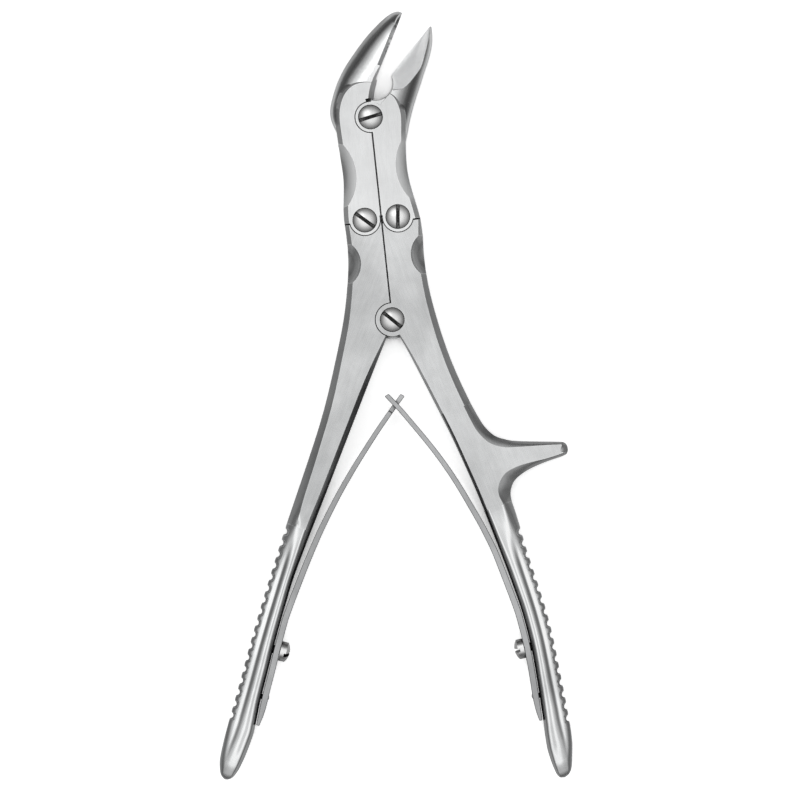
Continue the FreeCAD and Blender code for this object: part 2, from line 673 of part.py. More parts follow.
# centre line of each free leaf, as distance from the handle pivot and off the handle's axis
FREE_LEAF = {
    "left": [
        (23.6, -12.3), (30.5, -10.3), (38, -8.3), (46.9, -6.2), (55.6, -4.35), (63.5, -2.95), (70.7, -1.95),
        (79.1, -1.05), (87.3, -0.5), (96, -0.15),
    ],
    "right": [
        (24.05, -11), (29.9, -8.5), (37.5, -5.7), (45.5, -2.9), (51.3, -1.1), (60.3, 1.2), (70.3, 3.1),
        (80.3, 4.7), (90, 5.6),
    ],
}
LEAF_STATIONS = {
    "left": [23.6, 29, 37, 47, 58, 71, 84, 98, 110, 122, 130, 138, 149.5],
    "right": [24.05, 30, 38, 48, 60, 74, 88, 102, 112, 123, 130, 138, 149.5],
}


def leaf_line(side, station):
    """Centre line of a leaf: along the handle below, bowed away from it above."""
    seat = size("spring_gap") + size("spring_root") / 2
    clamped = [(at, inner_side(side, at) - seat) for at in (110, 116, 122, 130, 138, 146, 150)]
    return smooth(FREE_LEAF[side] + clamped, station)


def leaf_point(side, station, across):
    """Point of a leaf, across from its centre line towards the handle."""
    down, out = handle_frame(side)
    step = 0.2
    rise = leaf_line(side, station + step) - leaf_line(side, station - step)
    along = (down * (2 * step) + out * rise).normalize()
    toward = along.cross(UP)
    toward = toward if toward.dot(out) > 0 else -toward
    return down * station + out * leaf_line(side, station) + toward * across + UP * MID


def leaf_thickness(station):
    return smooth([(24, size("spring_tip")), (60, (size("spring_tip") + size("spring_root")) / 2),
                   (110, size("spring_root")), (160, size("spring_root"))], station)


def leaf_box(name, side, station, height, low, high):
    """Box across a leaf near its free end, from one station along it."""
    start = leaf_point(side, station, 0)
    onward = leaf_point(side, station + 6, 0) - start
    tool = Part.makeBox(height, 30, high - low, Vector(0, -15, low - MID))
    tool.Placement = Placement(start, Rotation(Vector(1, 0, 0), onward))
    return feature(name, tool)


def leaf(side):
    """Flat spring: a tongue at the free end of the left one, a slot in the right one."""
    name = "spring_" + side
    stations = LEAF_STATIONS[side][:-1] + [size("spring_foot")]
    tip = stations[0]
    outside, inside = (
        [leaf_point(side, at, direction * leaf_thickness(at) / 2) for at in stations] for direction in (1, -1)
    )
    edges = [spline(outside), Part.makeLine(outside[-1], inside[-1])]
    edges += [spline(inside[::-1]), Part.makeLine(inside[0], outside[0])]
    half_width = size("spring_width") / 2
    flat_edges = [edge.translated(UP * -MID) for edge in edges]
    blank = feature(name + "_blank", prism(flat_edges, MID - half_width, MID + half_width))
    if side == "left":
        half_tongue = size("tongue_width") / 2
        length = size("tongue_length") + 1
        tools = [
            leaf_box(name + "_shoulder_front", side, tip - 1, length, MID + half_tongue, THICK),
            leaf_box(name + "_shoulder_back", side, tip - 1, length, 0, MID - half_tongue),
        ]
    else:
        half_slot = (size("tongue_width") + size("leaf_slot_play")) / 2
        start = tip + size("leaf_end_bar")
        length = size("leaf_slot_length")
        tools = [leaf_box(name + "_slot", side, start, length, MID - half_slot, MID + half_slot)]
    return cut(name, blank, tools + leaf_holes(name, side))


# Screws and pins: turned bodies with a domed end, drawn as half sections

def sketch_in(body, name, role):
    sketch = body.newObject("Sketcher::SketchObject", name)
    plane = next(item for item in body.Origin.OriginFeatures if item.Role == role)
    sketch.AttachmentSupport = [(plane, "")]
    sketch.MapMode = "FlatFace"
    return sketch


def fix_corner(sketch, index, corner):
    """Tie the first end of one line to its place, given as two formulas."""
    for kind, axis, formula in (("DistanceX", -2, corner[0]), ("DistanceY", -1, corner[1])):
        if formula == "0":
            sketch.addConstraint(Sketcher.Constraint("PointOnObject", index, 1, axis))
            continue
        row = sketch.addConstraint(Sketcher.Constraint(kind, -1, 1, index, 1, amount(formula)))
        sketch.setExpression("Constraints[%d]" % row, linked(formula))


def turned(name, corners, dome):
    """Body turned about Z; corners are (radius, height) from the axis up to the edge of the dome."""
    body = doc.addObject("PartDesign::Body", name)
    sketch = sketch_in(body, name + "_half_section", "XZ_Plane")
    corners = corners + [("0", corners[-1][1] + " + " + dome)]
    points = [Vector(amount(radius), amount(height), 0) for radius, height in corners]
    last = len(points) - 1
    for index in range(last - 1):
        sketch.addGeometry(Part.LineSegment(points[index], points[index + 1]))
    edge, top = points[-2], points[-1]
    rise = top.y - edge.y
    radius = (edge.x**2 + rise**2) / (2 * rise)
    start = math.atan2(radius - rise, edge.x)
    circle = Part.Circle(Vector(0, top.y - radius, 0), UP, radius)
    sketch.addGeometry(Part.ArcOfCircle(circle, start, math.pi / 2))
    sketch.addGeometry(Part.LineSegment(top, points[0]))
    for index in range(last):
        sketch.addConstraint(Sketcher.Constraint("Coincident", index, 2, index + 1, 1))
    sketch.addConstraint(Sketcher.Constraint("Coincident", last, 2, 0, 1))
    sketch.addConstraint(Sketcher.Constraint("PointOnObject", last - 1, 3, -2))
    for index, corner in enumerate(corners):
        fix_corner(sketch, index, corner)
    solid = body.newObject("PartDesign::Revolution", name + "_turned")
    solid.Profile = sketch
    solid.ReferenceAxis = (sketch, ["V_Axis"])
    solid.Angle = 360
    sketch.Visibility = False
    return body


def slotted(body, top, reach):
    """Driver slot straight across the domed end."""
    sketch = sketch_in(body, body.Name + "_slot_outline", "XY_Plane")
    sketch.setExpression("AttachmentOffset.Base.z", linked(top))
    half_x, half_y = amount(reach), size("slot_width") / 2
    corners = [(-half_x, -half_y), (half_x, -half_y), (half_x, half_y), (-half_x, half_y)]
    for index in range(4):
        ends = corners[index], corners[(index + 1) % 4]
        sketch.addGeometry(Part.LineSegment(*[Vector(x, y, 0) for x, y in ends]))
    for index in range(4):
        sketch.addConstraint(Sketcher.Constraint("Coincident", index, 2, (index + 1) % 4, 1))
        sketch.addConstraint(Sketcher.Constraint("Vertical" if index % 2 else "Horizontal", index))
    sketch.addConstraint(Sketcher.Constraint("Symmetric", 0, 1, 2, 1, -1, 1))
    for kind, line, formula in (("DistanceX", 0, "2 * " + reach), ("DistanceY", 1, "slot_width")):
        row = sketch.addConstraint(Sketcher.Constraint(kind, line, 1, line, 2, amount(formula)))
        sketch.setExpression("Constraints[%d]" % row, linked(formula))
    groove = body.newObject("PartDesign::Pocket", body.Name + "_slot")
    groove.Profile = sketch
    groove.setExpression("Length", "Sizes.slot_depth")
    sketch.Visibility = False
    return body


def pivot_screw(name, at_x, at_y, slot_angle):
    """Screw through both laps, its head sunk in the front one and its end flush with the back."""
    neck = "box_thickness - head_depth"
    edge = "box_thickness - head_shoulder"
    corners = [("0", "0"), ("shank_radius", "0"), ("shank_radius", neck)]
    corners += [("head_radius", neck), ("head_radius", edge)]
    body = turned(name, corners, "head_shoulder + head_dome")
    slotted(body, "box_thickness + head_dome", "head_radius + 1")
    body.Placement = Placement(Vector(amount(at_x), amount(at_y), 0), Rotation(UP, slot_angle))
    return body


def leaf_screw(side):
    """Screw that clamps a leaf to its handle; drawn from its inner end outwards."""
    name = "spring_screw_" + side
    neck = "leaf_thread_length - hole_end_gap + spring_gap + spring_root + leaf_seat_gap"
    edge = neck + " + leaf_head_height - leaf_head_dome"
    corners = [("0", "0"), ("leaf_shank_radius", "0"), ("leaf_shank_radius", neck)]
    corners += [("leaf_head_radius", neck), ("leaf_head_radius", edge)]
    body = turned(name, corners, "leaf_head_dome")
    slotted(body, neck + " + leaf_head_height", "leaf_head_radius + 1")
    foot, away = leaf_normal(side, size("leaf_screw_" + side))
    depth = amount("leaf_thread_length - hole_end_gap")
    body.Placement = Placement(foot - away * depth, Rotation(UP, away))
    return body


def leaf_pin(side):
    """Pin through a leaf into its handle, domed at the leaf's face."""
    edge = "pin_depth - hole_end_gap + spring_gap + spring_root"
    body = turned("spring_pin_" + side, [("0", "0"), ("pin_radius", "0"), ("pin_radius", edge)], "pin_dome")
    foot, away = leaf_normal(side, amount("leaf_screw_" + side + " + pin_step"))
    depth = amount("pin_depth - hole_end_gap")
    body.Placement = Placement(foot - away * depth, Rotation(UP, away))
    return body


# The pieces, turned together from the box frame into the instrument's own frame

pieces = []
for side in SIGN:
    pieces += [jaw(side), handle(side), leaf(side), leaf_screw(side), leaf_pin(side)]
pieces += [
    pivot_screw("jaw_pivot_screw", "0", "pivot_span", 11),
    pivot_screw("link_screw_left", LINK_X["left"], LINK_Y, -42),
    pivot_screw("link_screw_right", LINK_X["right"], LINK_Y, 84),
    pivot_screw("handle_pivot_screw", "0", "0", -45),
]
doc.recompute()
lean = Placement(Vector(0, 0, 0), Rotation(UP, size("box_lean")))
for piece in pieces:
    piece.Label = piece.Name
    piece.Placement = lean * piece.Placement
doc.recompute()

# Checks, then one file for each piece

for item in doc.Objects:
    if "Invalid" in item.State or "Error" in item.State:
        raise RuntimeError(item.Name + " did not build")
os.makedirs("parts", exist_ok=True)
for piece in pieces:
    shape = piece.Shape
    if shape.isNull() or not shape.isValid() or len(shape.Solids) != 1:
        raise RuntimeError(piece.Name + " is not one sound solid")
    shape.exportStep("parts/" + piece.Label + ".step")
    print(piece.Label, round(shape.Volume), "cubic mm")
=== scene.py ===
"""Looks of the bone rongeur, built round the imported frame. Metres, in the frame of the CAD."""

import math

import bmesh
import bpy
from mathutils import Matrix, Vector


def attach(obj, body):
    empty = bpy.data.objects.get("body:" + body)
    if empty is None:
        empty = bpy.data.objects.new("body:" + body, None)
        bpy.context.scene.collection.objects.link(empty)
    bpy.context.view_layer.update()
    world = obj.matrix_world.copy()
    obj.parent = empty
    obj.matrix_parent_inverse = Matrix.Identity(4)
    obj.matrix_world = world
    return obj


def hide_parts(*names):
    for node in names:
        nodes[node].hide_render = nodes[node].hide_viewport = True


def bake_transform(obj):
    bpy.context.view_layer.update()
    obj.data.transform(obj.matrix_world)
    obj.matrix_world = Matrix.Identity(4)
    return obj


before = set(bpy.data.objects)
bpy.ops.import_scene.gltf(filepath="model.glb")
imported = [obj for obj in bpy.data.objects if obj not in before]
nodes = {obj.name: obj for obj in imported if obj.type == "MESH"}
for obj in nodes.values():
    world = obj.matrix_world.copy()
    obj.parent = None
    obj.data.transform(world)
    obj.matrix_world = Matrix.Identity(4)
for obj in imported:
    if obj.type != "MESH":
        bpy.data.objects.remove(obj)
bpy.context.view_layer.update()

MM = 0.001
UP = Vector((0, 0, 1))
# from part.py
BOX_THICKNESS = 12 * MM
MIDDLE_HEIGHT = BOX_THICKNESS / 2
BOX_LEAN = math.radians(6.12)
HANDLE_ANGLE = {"left": math.radians(19.6), "right": math.radians(20.3)}
SIGN = {"left": -1, "right": 1}

# Camera and stage

PICTURE = 800
PIXEL = 0.35 * MM
# the picture's middle lies this far right of the handle pivot, and this far below it
MIDDLE = Vector((0.00273, -0.0281, 0.008))
LENS = 600
SENSOR = 36
FLOOR_SIZE = 6
FLOOR_DROP = 0.2 * MM
FLOOR_SHADE_REACH = 6 * MM
# own glow of the floor, faded to painted shade where it is closed in: how open it has to be to start and to
# end, and its strength
FLOOR_GLOW = (0.2, 0.5, 0.6)
# brightness of the surroundings by height, from the horizon to straight overhead
SKY = [(0.0, 0.44), (0.3, 0.48), (0.57, 0.6), (0.82, 0.82), (0.94, 0.92), (1.0, 0.95)]
# glow to left and right: how far sideways it starts and ends, and its strength
SIDE_GLOW = (0.6, 0.98, 0.4)
SHADE_SAMPLES = 8
LAMP_SIZE = 1.1
LAMP_POWER = 2.2
LAMP_PLACE = Vector((-0.6, 0.7, 1.3))
LAMP_TARGET = Vector((0, -0.03, 0))


def add_camera():
    data = bpy.data.cameras.new("camera")
    data.lens = LENS
    data.sensor_width = SENSOR
    data.clip_end = 50
    camera = bpy.data.objects.new("camera", data)
    bpy.context.scene.collection.objects.link(camera)
    camera.location = MIDDLE + UP * (PICTURE * PIXEL * LENS / SENSOR)
    bpy.context.scene.camera = camera


def link(obj):
    bpy.context.scene.collection.objects.link(obj)
    return obj


def add_node(tree, kind, **inputs):
    """Shader node with its sockets set by name, spaces as underscores."""
    node = tree.nodes.new(kind)
    for name, content in inputs.items():
        node.inputs[name.replace("_", " ")].default_value = content
    return node


def pale_floor():
    """White to the camera and in reflections, with painted shade under a slit where its glow fades, and with
    the object's shadow.
    """
    material = bpy.data.materials.new("pale_floor")
    material.use_nodes = True
    tree = material.node_tree
    tree.nodes.clear()
    path = tree.nodes.new("ShaderNodeLightPath")
    lit = add_node(tree, "ShaderNodeBsdfDiffuse", Color=(0.9, 0.9, 0.9, 1))
    white = add_node(tree, "ShaderNodeEmission", Color=(1, 1, 1, 1))
    opening = add_node(tree, "ShaderNodeAmbientOcclusion", Distance=FLOOR_SHADE_REACH)
    opening.samples = SHADE_SAMPLES
    # the glow fades with the openness, which paints shade into slits and close against the object
    start, end, strength = FLOOR_GLOW
    glow = add_node(tree, "ShaderNodeMapRange", From_Min=start, From_Max=end, To_Min=0.0, To_Max=strength)
    tree.links.new(opening.outputs["AO"], glow.inputs["Value"])
    tree.links.new(glow.outputs["Result"], white.inputs["Strength"])
    shown = tree.nodes.new("ShaderNodeAddShader")
    seen = add_node(tree, "ShaderNodeMath")
    seen.operation = "MAXIMUM"
    mirrored = add_node(tree, "ShaderNodeMath")
    mirrored.operation = "MAXIMUM"
    choice = tree.nodes.new("ShaderNodeMixShader")
    output = tree.nodes.new("ShaderNodeOutputMaterial")
    tree.links.new(path.outputs["Is Camera Ray"], seen.inputs[0])
    tree.links.new(path.outputs["Is Glossy Ray"], mirrored.inputs[0])
    tree.links.new(path.outputs["Is Transmission Ray"], mirrored.inputs[1])
    tree.links.new(mirrored.outputs[0], seen.inputs[1])
    tree.links.new(lit.outputs[0], shown.inputs[0])
    tree.links.new(white.outputs[0], shown.inputs[1])
    tree.links.new(seen.outputs[0], choice.inputs[0])
    tree.links.new(lit.outputs[0], choice.inputs[1])
    tree.links.new(shown.outputs[0], choice.inputs[2])
    tree.links.new(choice.outputs[0], output.inputs["Surface"])
    return material


def add_floor():
    half = FLOOR_SIZE / 2
    corners = [(-half, -half, 0), (half, -half, 0), (half, half, 0), (-half, half, 0)]
    mesh = bpy.data.meshes.new("floor")
    mesh.from_pydata(corners, [], [(0, 1, 2, 3)])
    mesh.materials.append(pale_floor())
    floor = link(bpy.data.objects.new("floor", mesh))
    floor.location.z = -FLOOR_DROP


def ramp(tree, stops):
    """Colour ramp of greys, by place."""
    node = tree.nodes.new("ShaderNodeValToRGB")
    elements = node.color_ramp.elements
    while len(elements) < len(stops):
        elements.new(0.5)
    for element, (place, grey) in zip(elements, stops):
        element.position = place
        element.color = (grey, grey, grey, 1)
    return node


def add_surroundings():
    """Bright overhead, darker to the sides and with a soft glow to left and right, as in a light tent."""
    world = bpy.data.worlds.new("studio")
    bpy.context.scene.world = world
    world.use_nodes = True
    tree = world.node_tree
    tree.nodes.clear()
    place = tree.nodes.new("ShaderNodeTexCoord")
    split = tree.nodes.new("ShaderNodeSeparateXYZ")
    heights = ramp(tree, SKY)
    sideways = tree.nodes.new("ShaderNodeMath")
    sideways.operation = "ABSOLUTE"
    start, end, strength = SIDE_GLOW
    glow = add_node(tree, "ShaderNodeMapRange", From_Min=start, From_Max=end, To_Min=0.0, To_Max=strength)
    both = tree.nodes.new("ShaderNodeMath")
    background = add_node(tree, "ShaderNodeBackground", Color=(1, 1, 1, 1))
    output = tree.nodes.new("ShaderNodeOutputWorld")
    tree.links.new(place.outputs["Generated"], split.inputs[0])
    tree.links.new(split.outputs["Z"], heights.inputs["Fac"])
    tree.links.new(split.outputs["X"], sideways.inputs[0])
    tree.links.new(sideways.outputs[0], glow.inputs["Value"])
    tree.links.new(heights.outputs["Color"], both.inputs[0])
    tree.links.new(glow.outputs["Result"], both.inputs[1])
    tree.links.new(both.outputs[0], background.inputs["Strength"])
    tree.links.new(background.outputs[0], output.inputs["Surface"])


def add_lamp():
    data = bpy.data.lights.new("soft_lamp", "AREA")
    data.shape = "DISK"
    data.size = LAMP_SIZE
    data.energy = LAMP_POWER
    lamp = link(bpy.data.objects.new("soft_lamp", data))
    lamp.location = LAMP_PLACE
    lamp.rotation_euler = (LAMP_TARGET - LAMP_PLACE).to_track_quat("-Z", "Y").to_euler()


# Steel

# painted light of each finish, by how far its surface faces up: painted shade on steep flanks and painted
# highlights where it tilts a little from flat
SATIN_PAINTED_LIGHT = [(0.0, 0.75), (0.25, 0.5), (0.55, 0.25), (0.72, 0.24), (0.82, 0.38), (0.9, 0.68), (0.955, 1.1),
         (0.975, 1.6), (0.99, 1.66), (0.9985, 1.0)]
BEAK_PAINTED_LIGHT = [(0.0, 0.75), (0.5, 0.5), (0.76, 0.27), (0.87, 0.12), (0.91, 0.16), (0.95, 0.39), (0.975, 0.7),
        (0.99, 1.15), (0.9985, 1.4), (0.9998, 1.05)]
SCREW_PAINTED_LIGHT = [(0.0, 0.65), (0.4, 0.3), (0.7, 0.24), (0.86, 0.34), (0.93, 0.72), (0.97, 1.03), (1.0, 1.1)]
SPRING_PAINTED_LIGHT = [(0.0, 0.65), (0.35, 0.2), (0.9, 0.28), (0.98, 1.0)]
# and painted light by how far a flank faces straight out
TURNED_PAINTED_LIGHT = [(0.0, 1.0), (0.38, 1.0), (0.52, 0.68), (0.7, 0.88), (0.84, 1.2), (1.0, 1.2)]
SATIN_COLOUR = (0.62, 0.627, 0.63)
PLATE_COLOUR = (0.73, 0.737, 0.74)
SCREW_COLOUR = (0.82, 0.82, 0.82)
SPRING_COLOUR = (0.45, 0.455, 0.46)
# tint of steel at a glancing angle
GLANCING = (0.4, 0.4, 0.4, 1)
STREAK_WIDTH = 3.2
CLOUDS = 130
WIDE_CLOUDS = 28
# how far brightness swings in the lines, the streaks, the clouds and the wide clouds
SWINGS = (0.03, 0.035, 0.05, 0.14)
NOISE_RANGE = (0.3, 0.7)
ROUGHNESS_RANGE = (-0.05, 0.06)
BUMP_STRENGTH = 0.05
BUMP_HEIGHT = 0.03 * MM
# edges: how far round them is looked, how well the normals agree where they start and are full, the
# smoother finish of shallow edges, and the painted shade along square edges and in gaps
EDGE_RADIUS = 0.4 * MM
EDGE_SAMPLES = 6
SQUARE_EDGE = (0.9, 0.78)
SHALLOW_EDGE = (0.998, 0.93)
WORN_SHINE = -0.08
EDGE_SHADE_DARKNESS = 0.2
GAP_DARKNESS = 0.02
# the hollow of a beak is left as ground and matt, and painted light in place of its highlight: its painted
# lightness, metallic share and dullness, and the stretch along the box joint, the tilt and the facing over
# which it sets in
HOLLOW_PAINTED_LIGHT = 1.35
HOLLOW_METALLIC = 0.25
HOLLOW_DULLNESS = 0.2
HOLLOW_FROM = (79.6 * MM, 80.2 * MM)
HOLLOW_TILT = [(0.12, 0.0), (0.3, 1.0)]
HOLLOW_FACING = (-0.01, 0.05)


class Tree:
    """Short ways to add nodes to one material."""

    def __init__(self, name):
        self.material = bpy.data.materials.new(name)
        self.material.use_nodes = True
        self.tree = self.material.node_tree
        self.place = self.tree.nodes.new("ShaderNodeTexCoord")

    def join(self, content, socket):
        if isinstance(content, (int, float, tuple)):
            socket.default_value = content
        else:
            self.tree.links.new(content, socket)

    def maths(self, operation, first, second=0.0):
        node = self.tree.nodes.new("ShaderNodeMath")
        node.operation = operation
        self.join(first, node.inputs[0])
        self.join(second, node.inputs[1])
        return node.outputs[0]

    def rescale(self, content, low, high, to_low, to_high):
        node = add_node(self.tree, "ShaderNodeMapRange",
                        From_Min=low, From_Max=high, To_Min=to_low, To_Max=to_high)
        node.interpolation_type = "SMOOTHSTEP"
        self.join(content, node.inputs["Value"])
        return node.outputs["Result"]

    def noise(self, scale, detail, grain=0.0, stretch=1.0):
        turn = self.tree.nodes.new("ShaderNodeMapping")
        turn.vector_type = "TEXTURE"
        turn.inputs["Rotation"].default_value = (0, 0, grain)
        turn.inputs["Scale"].default_value = (1, stretch, 1)
        node = add_node(self.tree, "ShaderNodeTexNoise", Scale=scale, Detail=detail, Roughness=0.6)
        self.join(self.place.outputs["Object"], turn.inputs["Vector"])
        self.join(turn.outputs[0], node.inputs["Vector"])
        return node.outputs["Fac"]

    def slope(self, stops):
        """Ramp by how far the surface faces up or down: the painted light of a finish, and the hollow's mask.
        """
        parts = self.tree.nodes.new("ShaderNodeSeparateXYZ")
        self.join(self.place.outputs["Normal"], parts.inputs[0])
        node = ramp(self.tree, stops)
        self.join(self.maths("ABSOLUTE", parts.outputs["Z"]), node.inputs["Fac"])
        return node.outputs["Color"]

    def turned(self, across):
        """Painted light on flanks: brighter where they face straight out, with painted shade where they turn
        along the piece.
        """
        node = ramp(self.tree, TURNED_PAINTED_LIGHT)
        facing = self.dot(self.place.outputs["Normal"], across)
        self.join(self.maths("ABSOLUTE", facing), node.inputs["Fac"])
        return node.outputs["Color"]

    def dot(self, first, second):
        node = self.tree.nodes.new("ShaderNodeVectorMath")
        node.operation = "DOT_PRODUCT"
        self.join(first, node.inputs[0])
        self.join(second, node.inputs[1])
        return node.outputs["Value"]

    def edges(self, radius):
        """Masks of shallow edges, for a painted highlight and a smoother finish, and of square ones, for
        painted shade, each one along its edge.
        """
        rounded = add_node(self.tree, "ShaderNodeBevel", Radius=radius)
        rounded.samples = EDGE_SAMPLES
        geometry = self.tree.nodes.new("ShaderNodeNewGeometry")
        agree = self.dot(rounded.outputs[0], geometry.outputs["Normal"])
        square = self.rescale(agree, *SQUARE_EDGE, 0.0, 1.0)
        shallow = self.rescale(agree, *SHALLOW_EDGE, 0.0, 1.0)
        return self.maths("MULTIPLY", shallow, self.maths("SUBTRACT", 1.0, square)), square

    def painted_gap_shade(self, reach, low, high, darkest):
        """Painted shade: one in the open, dark in gaps, slots and corners."""
        node = add_node(self.tree, "ShaderNodeAmbientOcclusion", Distance=reach)
        node.samples = SHADE_SAMPLES
        return self.rescale(node.outputs["AO"], low, high, darkest, 1.0)

    def swing(self, content, amount):
        """Brightness that swings about one."""
        return self.rescale(content, *NOISE_RANGE, 1 - amount, 1 + 0.8 * amount)

    def inside_hollow(self, facing):
        """One inside the ground hollow of a beak, and zero elsewhere."""
        height = self.dot(self.place.outputs["Object"], (-math.sin(BOX_LEAN), math.cos(BOX_LEAN), 0.0))
        turned_in = self.rescale(self.dot(self.place.outputs["Normal"], facing), *HOLLOW_FACING, 0.0, 1.0)
        above = self.rescale(height, *HOLLOW_FROM, 0.0, 1.0)
        return self.maths("MULTIPLY", self.maths("MULTIPLY", turned_in, above), self.slope(HOLLOW_TILT))


def steel(name, colour, roughness, slopes, grain=0.0, stretch=14, line=0.35, contrast=1.0, edge=0.45,
          gap=(2.6, 0.25, 0.8), across=(1.0, 0.0, 0.0), hollow=None):
    """Finished steel: lines along the grain and clouds, with painted light by facing, a painted highlight and
    smoother finish on shallow edges, and painted shade on flanks, on square edges and in gaps.

    line is the width of a line in millimetres, slopes is the painted light by facing, edge is the strength of
    the painted highlight on shallow edges, gap is the reach of the painted shade into gaps and the openness
    at which it is full and gone, and hollow is the way that a ground hollow faces.
    """
    tree = Tree(name)
    shader = tree.tree.nodes["Principled BSDF"]
    shader.inputs["Metallic"].default_value = 1.0
    shader.inputs["Specular Tint"].default_value = GLANCING
    lines = tree.noise(1 / (line * MM), 4, grain, stretch)
    streaks = tree.noise(1 / (STREAK_WIDTH * line * MM), 3, grain, 0.7 * stretch)
    patterns = (lines, streaks, tree.noise(CLOUDS, 3), tree.noise(WIDE_CLOUDS, 2))
    worn_and_highlit, painted_edge_shade = tree.edges(EDGE_RADIUS)
    # painted light: painted shade on flanks and painted highlights near flat, from the surface's facing
    painted_facing_light = tree.maths("MULTIPLY", tree.slope(slopes), tree.turned(across))
    smoothest, roughest = (roughness + change for change in ROUGHNESS_RANGE)
    gloss = tree.maths("ADD", tree.rescale(lines, *NOISE_RANGE, smoothest, roughest),
                       tree.maths("MULTIPLY", worn_and_highlit, WORN_SHINE))
    if hollow:
        inside = tree.inside_hollow(hollow)
        # painted highlight: in the hollow a light colour takes the place of the painted light by facing
        painted_facing_light = tree.maths("MULTIPLY", painted_facing_light, tree.maths("SUBTRACT", 1.0, inside))
        painted_facing_light = tree.maths("ADD", painted_facing_light, tree.maths("MULTIPLY", inside, HOLLOW_PAINTED_LIGHT))
        gloss = tree.maths("ADD", gloss, tree.maths("MULTIPLY", inside, HOLLOW_DULLNESS))
        tree.join(tree.rescale(inside, 0.0, 1.0, 1.0, HOLLOW_METALLIC), shader.inputs["Metallic"])
    level = painted_facing_light
    for pattern, amount in zip(patterns, SWINGS):
        level = tree.maths("MULTIPLY", level, tree.swing(pattern, amount * contrast))
    # painted highlight along shallow edges, and painted shade along square ones
    level = tree.maths("ADD", level, tree.maths("MULTIPLY", worn_and_highlit, edge))
    level = tree.maths("MULTIPLY", level, tree.rescale(painted_edge_shade, 0.0, 1.0, 1.0, EDGE_SHADE_DARKNESS))
    reach, low, high = gap
    # painted shade in gaps, slots and corners
    level = tree.maths("MULTIPLY", level, tree.painted_gap_shade(reach * MM, low, high, GAP_DARKNESS))
    tint = tree.tree.nodes.new("ShaderNodeVectorMath")
    tint.operation = "SCALE"
    tint.inputs[0].default_value = colour
    tree.join(level, tint.inputs["Scale"])
    tree.join(tint.outputs[0], shader.inputs["Base Color"])
    tree.join(gloss, shader.inputs["Roughness"])
    bump = add_node(tree.tree, "ShaderNodeBump", Strength=BUMP_STRENGTH * contrast, Distance=BUMP_HEIGHT)
    tree.join(tree.maths("ADD", lines, streaks), bump.inputs["Height"])
    tree.join(bump.outputs[0], shader.inputs["Normal"])
    return tree.material


def handle_steel(side):
    return steel("satin_handle_" + side, SATIN_COLOUR, 0.27, SATIN_PAINTED_LIGHT, grain=SIGN[side] * HANDLE_ANGLE[side],
                 across=tuple(handle_frame(side)[1]))


def jaw_steel(side):
    box_across = tuple(box_point(1, 0).xy) + (0.0,)
    # the right beak's hollow faces the left one
    hollow = tuple(-rim(side)[3]) if side == "right" else None
    return steel("satin_jaw_" + side, PLATE_COLOUR, 0.22, BEAK_PAINTED_LIGHT, grain=BOX_LEAN, contrast=0.6,
                 across=box_across, hollow=hollow)


def screw_steel():
    # the painted shade reaches further into the screws' slots
    return steel("polished_screw", SCREW_COLOUR, 0.28, SCREW_PAINTED_LIGHT, grain=0.6, stretch=3, line=0.3, contrast=0.5,
                 edge=0.1, gap=(4.0, 0.45, 0.8))


def spring_steel():
    # a negative edge paints shade along the leaves' shallow edges
    return steel("drawn_spring", SPRING_COLOUR, 0.3, SPRING_PAINTED_LIGHT, stretch=6, line=0.3, edge=-0.3)


def dress(names, material):
    for name in names:
        mesh = nodes[name].data
        mesh.materials.clear()
        mesh.materials.append(material)


# Leaf springs: made here, each of one strip; on the real instrument they bend as the handles close

# after part.py with a rounder end, millimetres, by distance from the handle pivot: inner side of each handle,
# and centre line of each leaf as far as its clamp
INNER_SIDE = {
    "left": [
        (60, 1.3), (84, 2), (96, 2.2), (105, 1.8), (119, 0.9), (130, -0.2), (141, -1.25), (149, -2.4),
        (154, -2.95), (160, -2.85), (165, -2.45), (168.8, -1.6), (170.2, -0.8), (171, 0.2),
    ],
    "right": [
        (60, 6.4), (80, 7.15), (97, 7.4), (108, 7.3), (122, 6.2), (136, 3.8), (150, 0.9), (156, -0.5),
        (161, -1.3), (165, -1.45), (168.8, -1.25), (170.2, -0.8), (171, -0.1),
    ],
}
FREE_LEAF = {
    "left": [
        (23.6, -12.3), (30.5, -10.3), (38, -8.3), (46.9, -6.2), (55.6, -4.35), (63.5, -2.95), (70.7, -1.95),
        (79.1, -1.05), (87.3, -0.5), (96, -0.15),
    ],
    "right": [
        (24.05, -11), (29.9, -8.5), (37.5, -5.7), (45.5, -2.9), (51.3, -1.1), (60.3, 1.2), (70.3, 3.1),
        (80.3, 4.7), (90, 5.6),
    ],
}
# stations at which a leaf lies on its handle
CLAMPED = (110, 116, 122, 130, 138, 146, 150)
LEAF_WIDTH = 6.4
LEAF_GAP = 0.3
LEAF_THICKNESS = [(24, 1.65), (60, 1.925), (110, 2.2), (160, 2.2)]
LEAF_FOOT = 149.5
LEAF_STEP = 2.5
CLOSEST_STATIONS = 0.3
# the foot is ground down on its free side
FOOT_GRIND = {"length": 9, "depth": 1.1}
LEAF_EDGE = 0.28 * MM
LEAF_CORNER = math.radians(40)
# station from which the real leaf bends to its free end
BEND_FROM = 108
TONGUE = {"width": 2.6, "length": 7.0}
SLOT = {"width": 3.1, "length": 7.6, "beyond": 1.9}


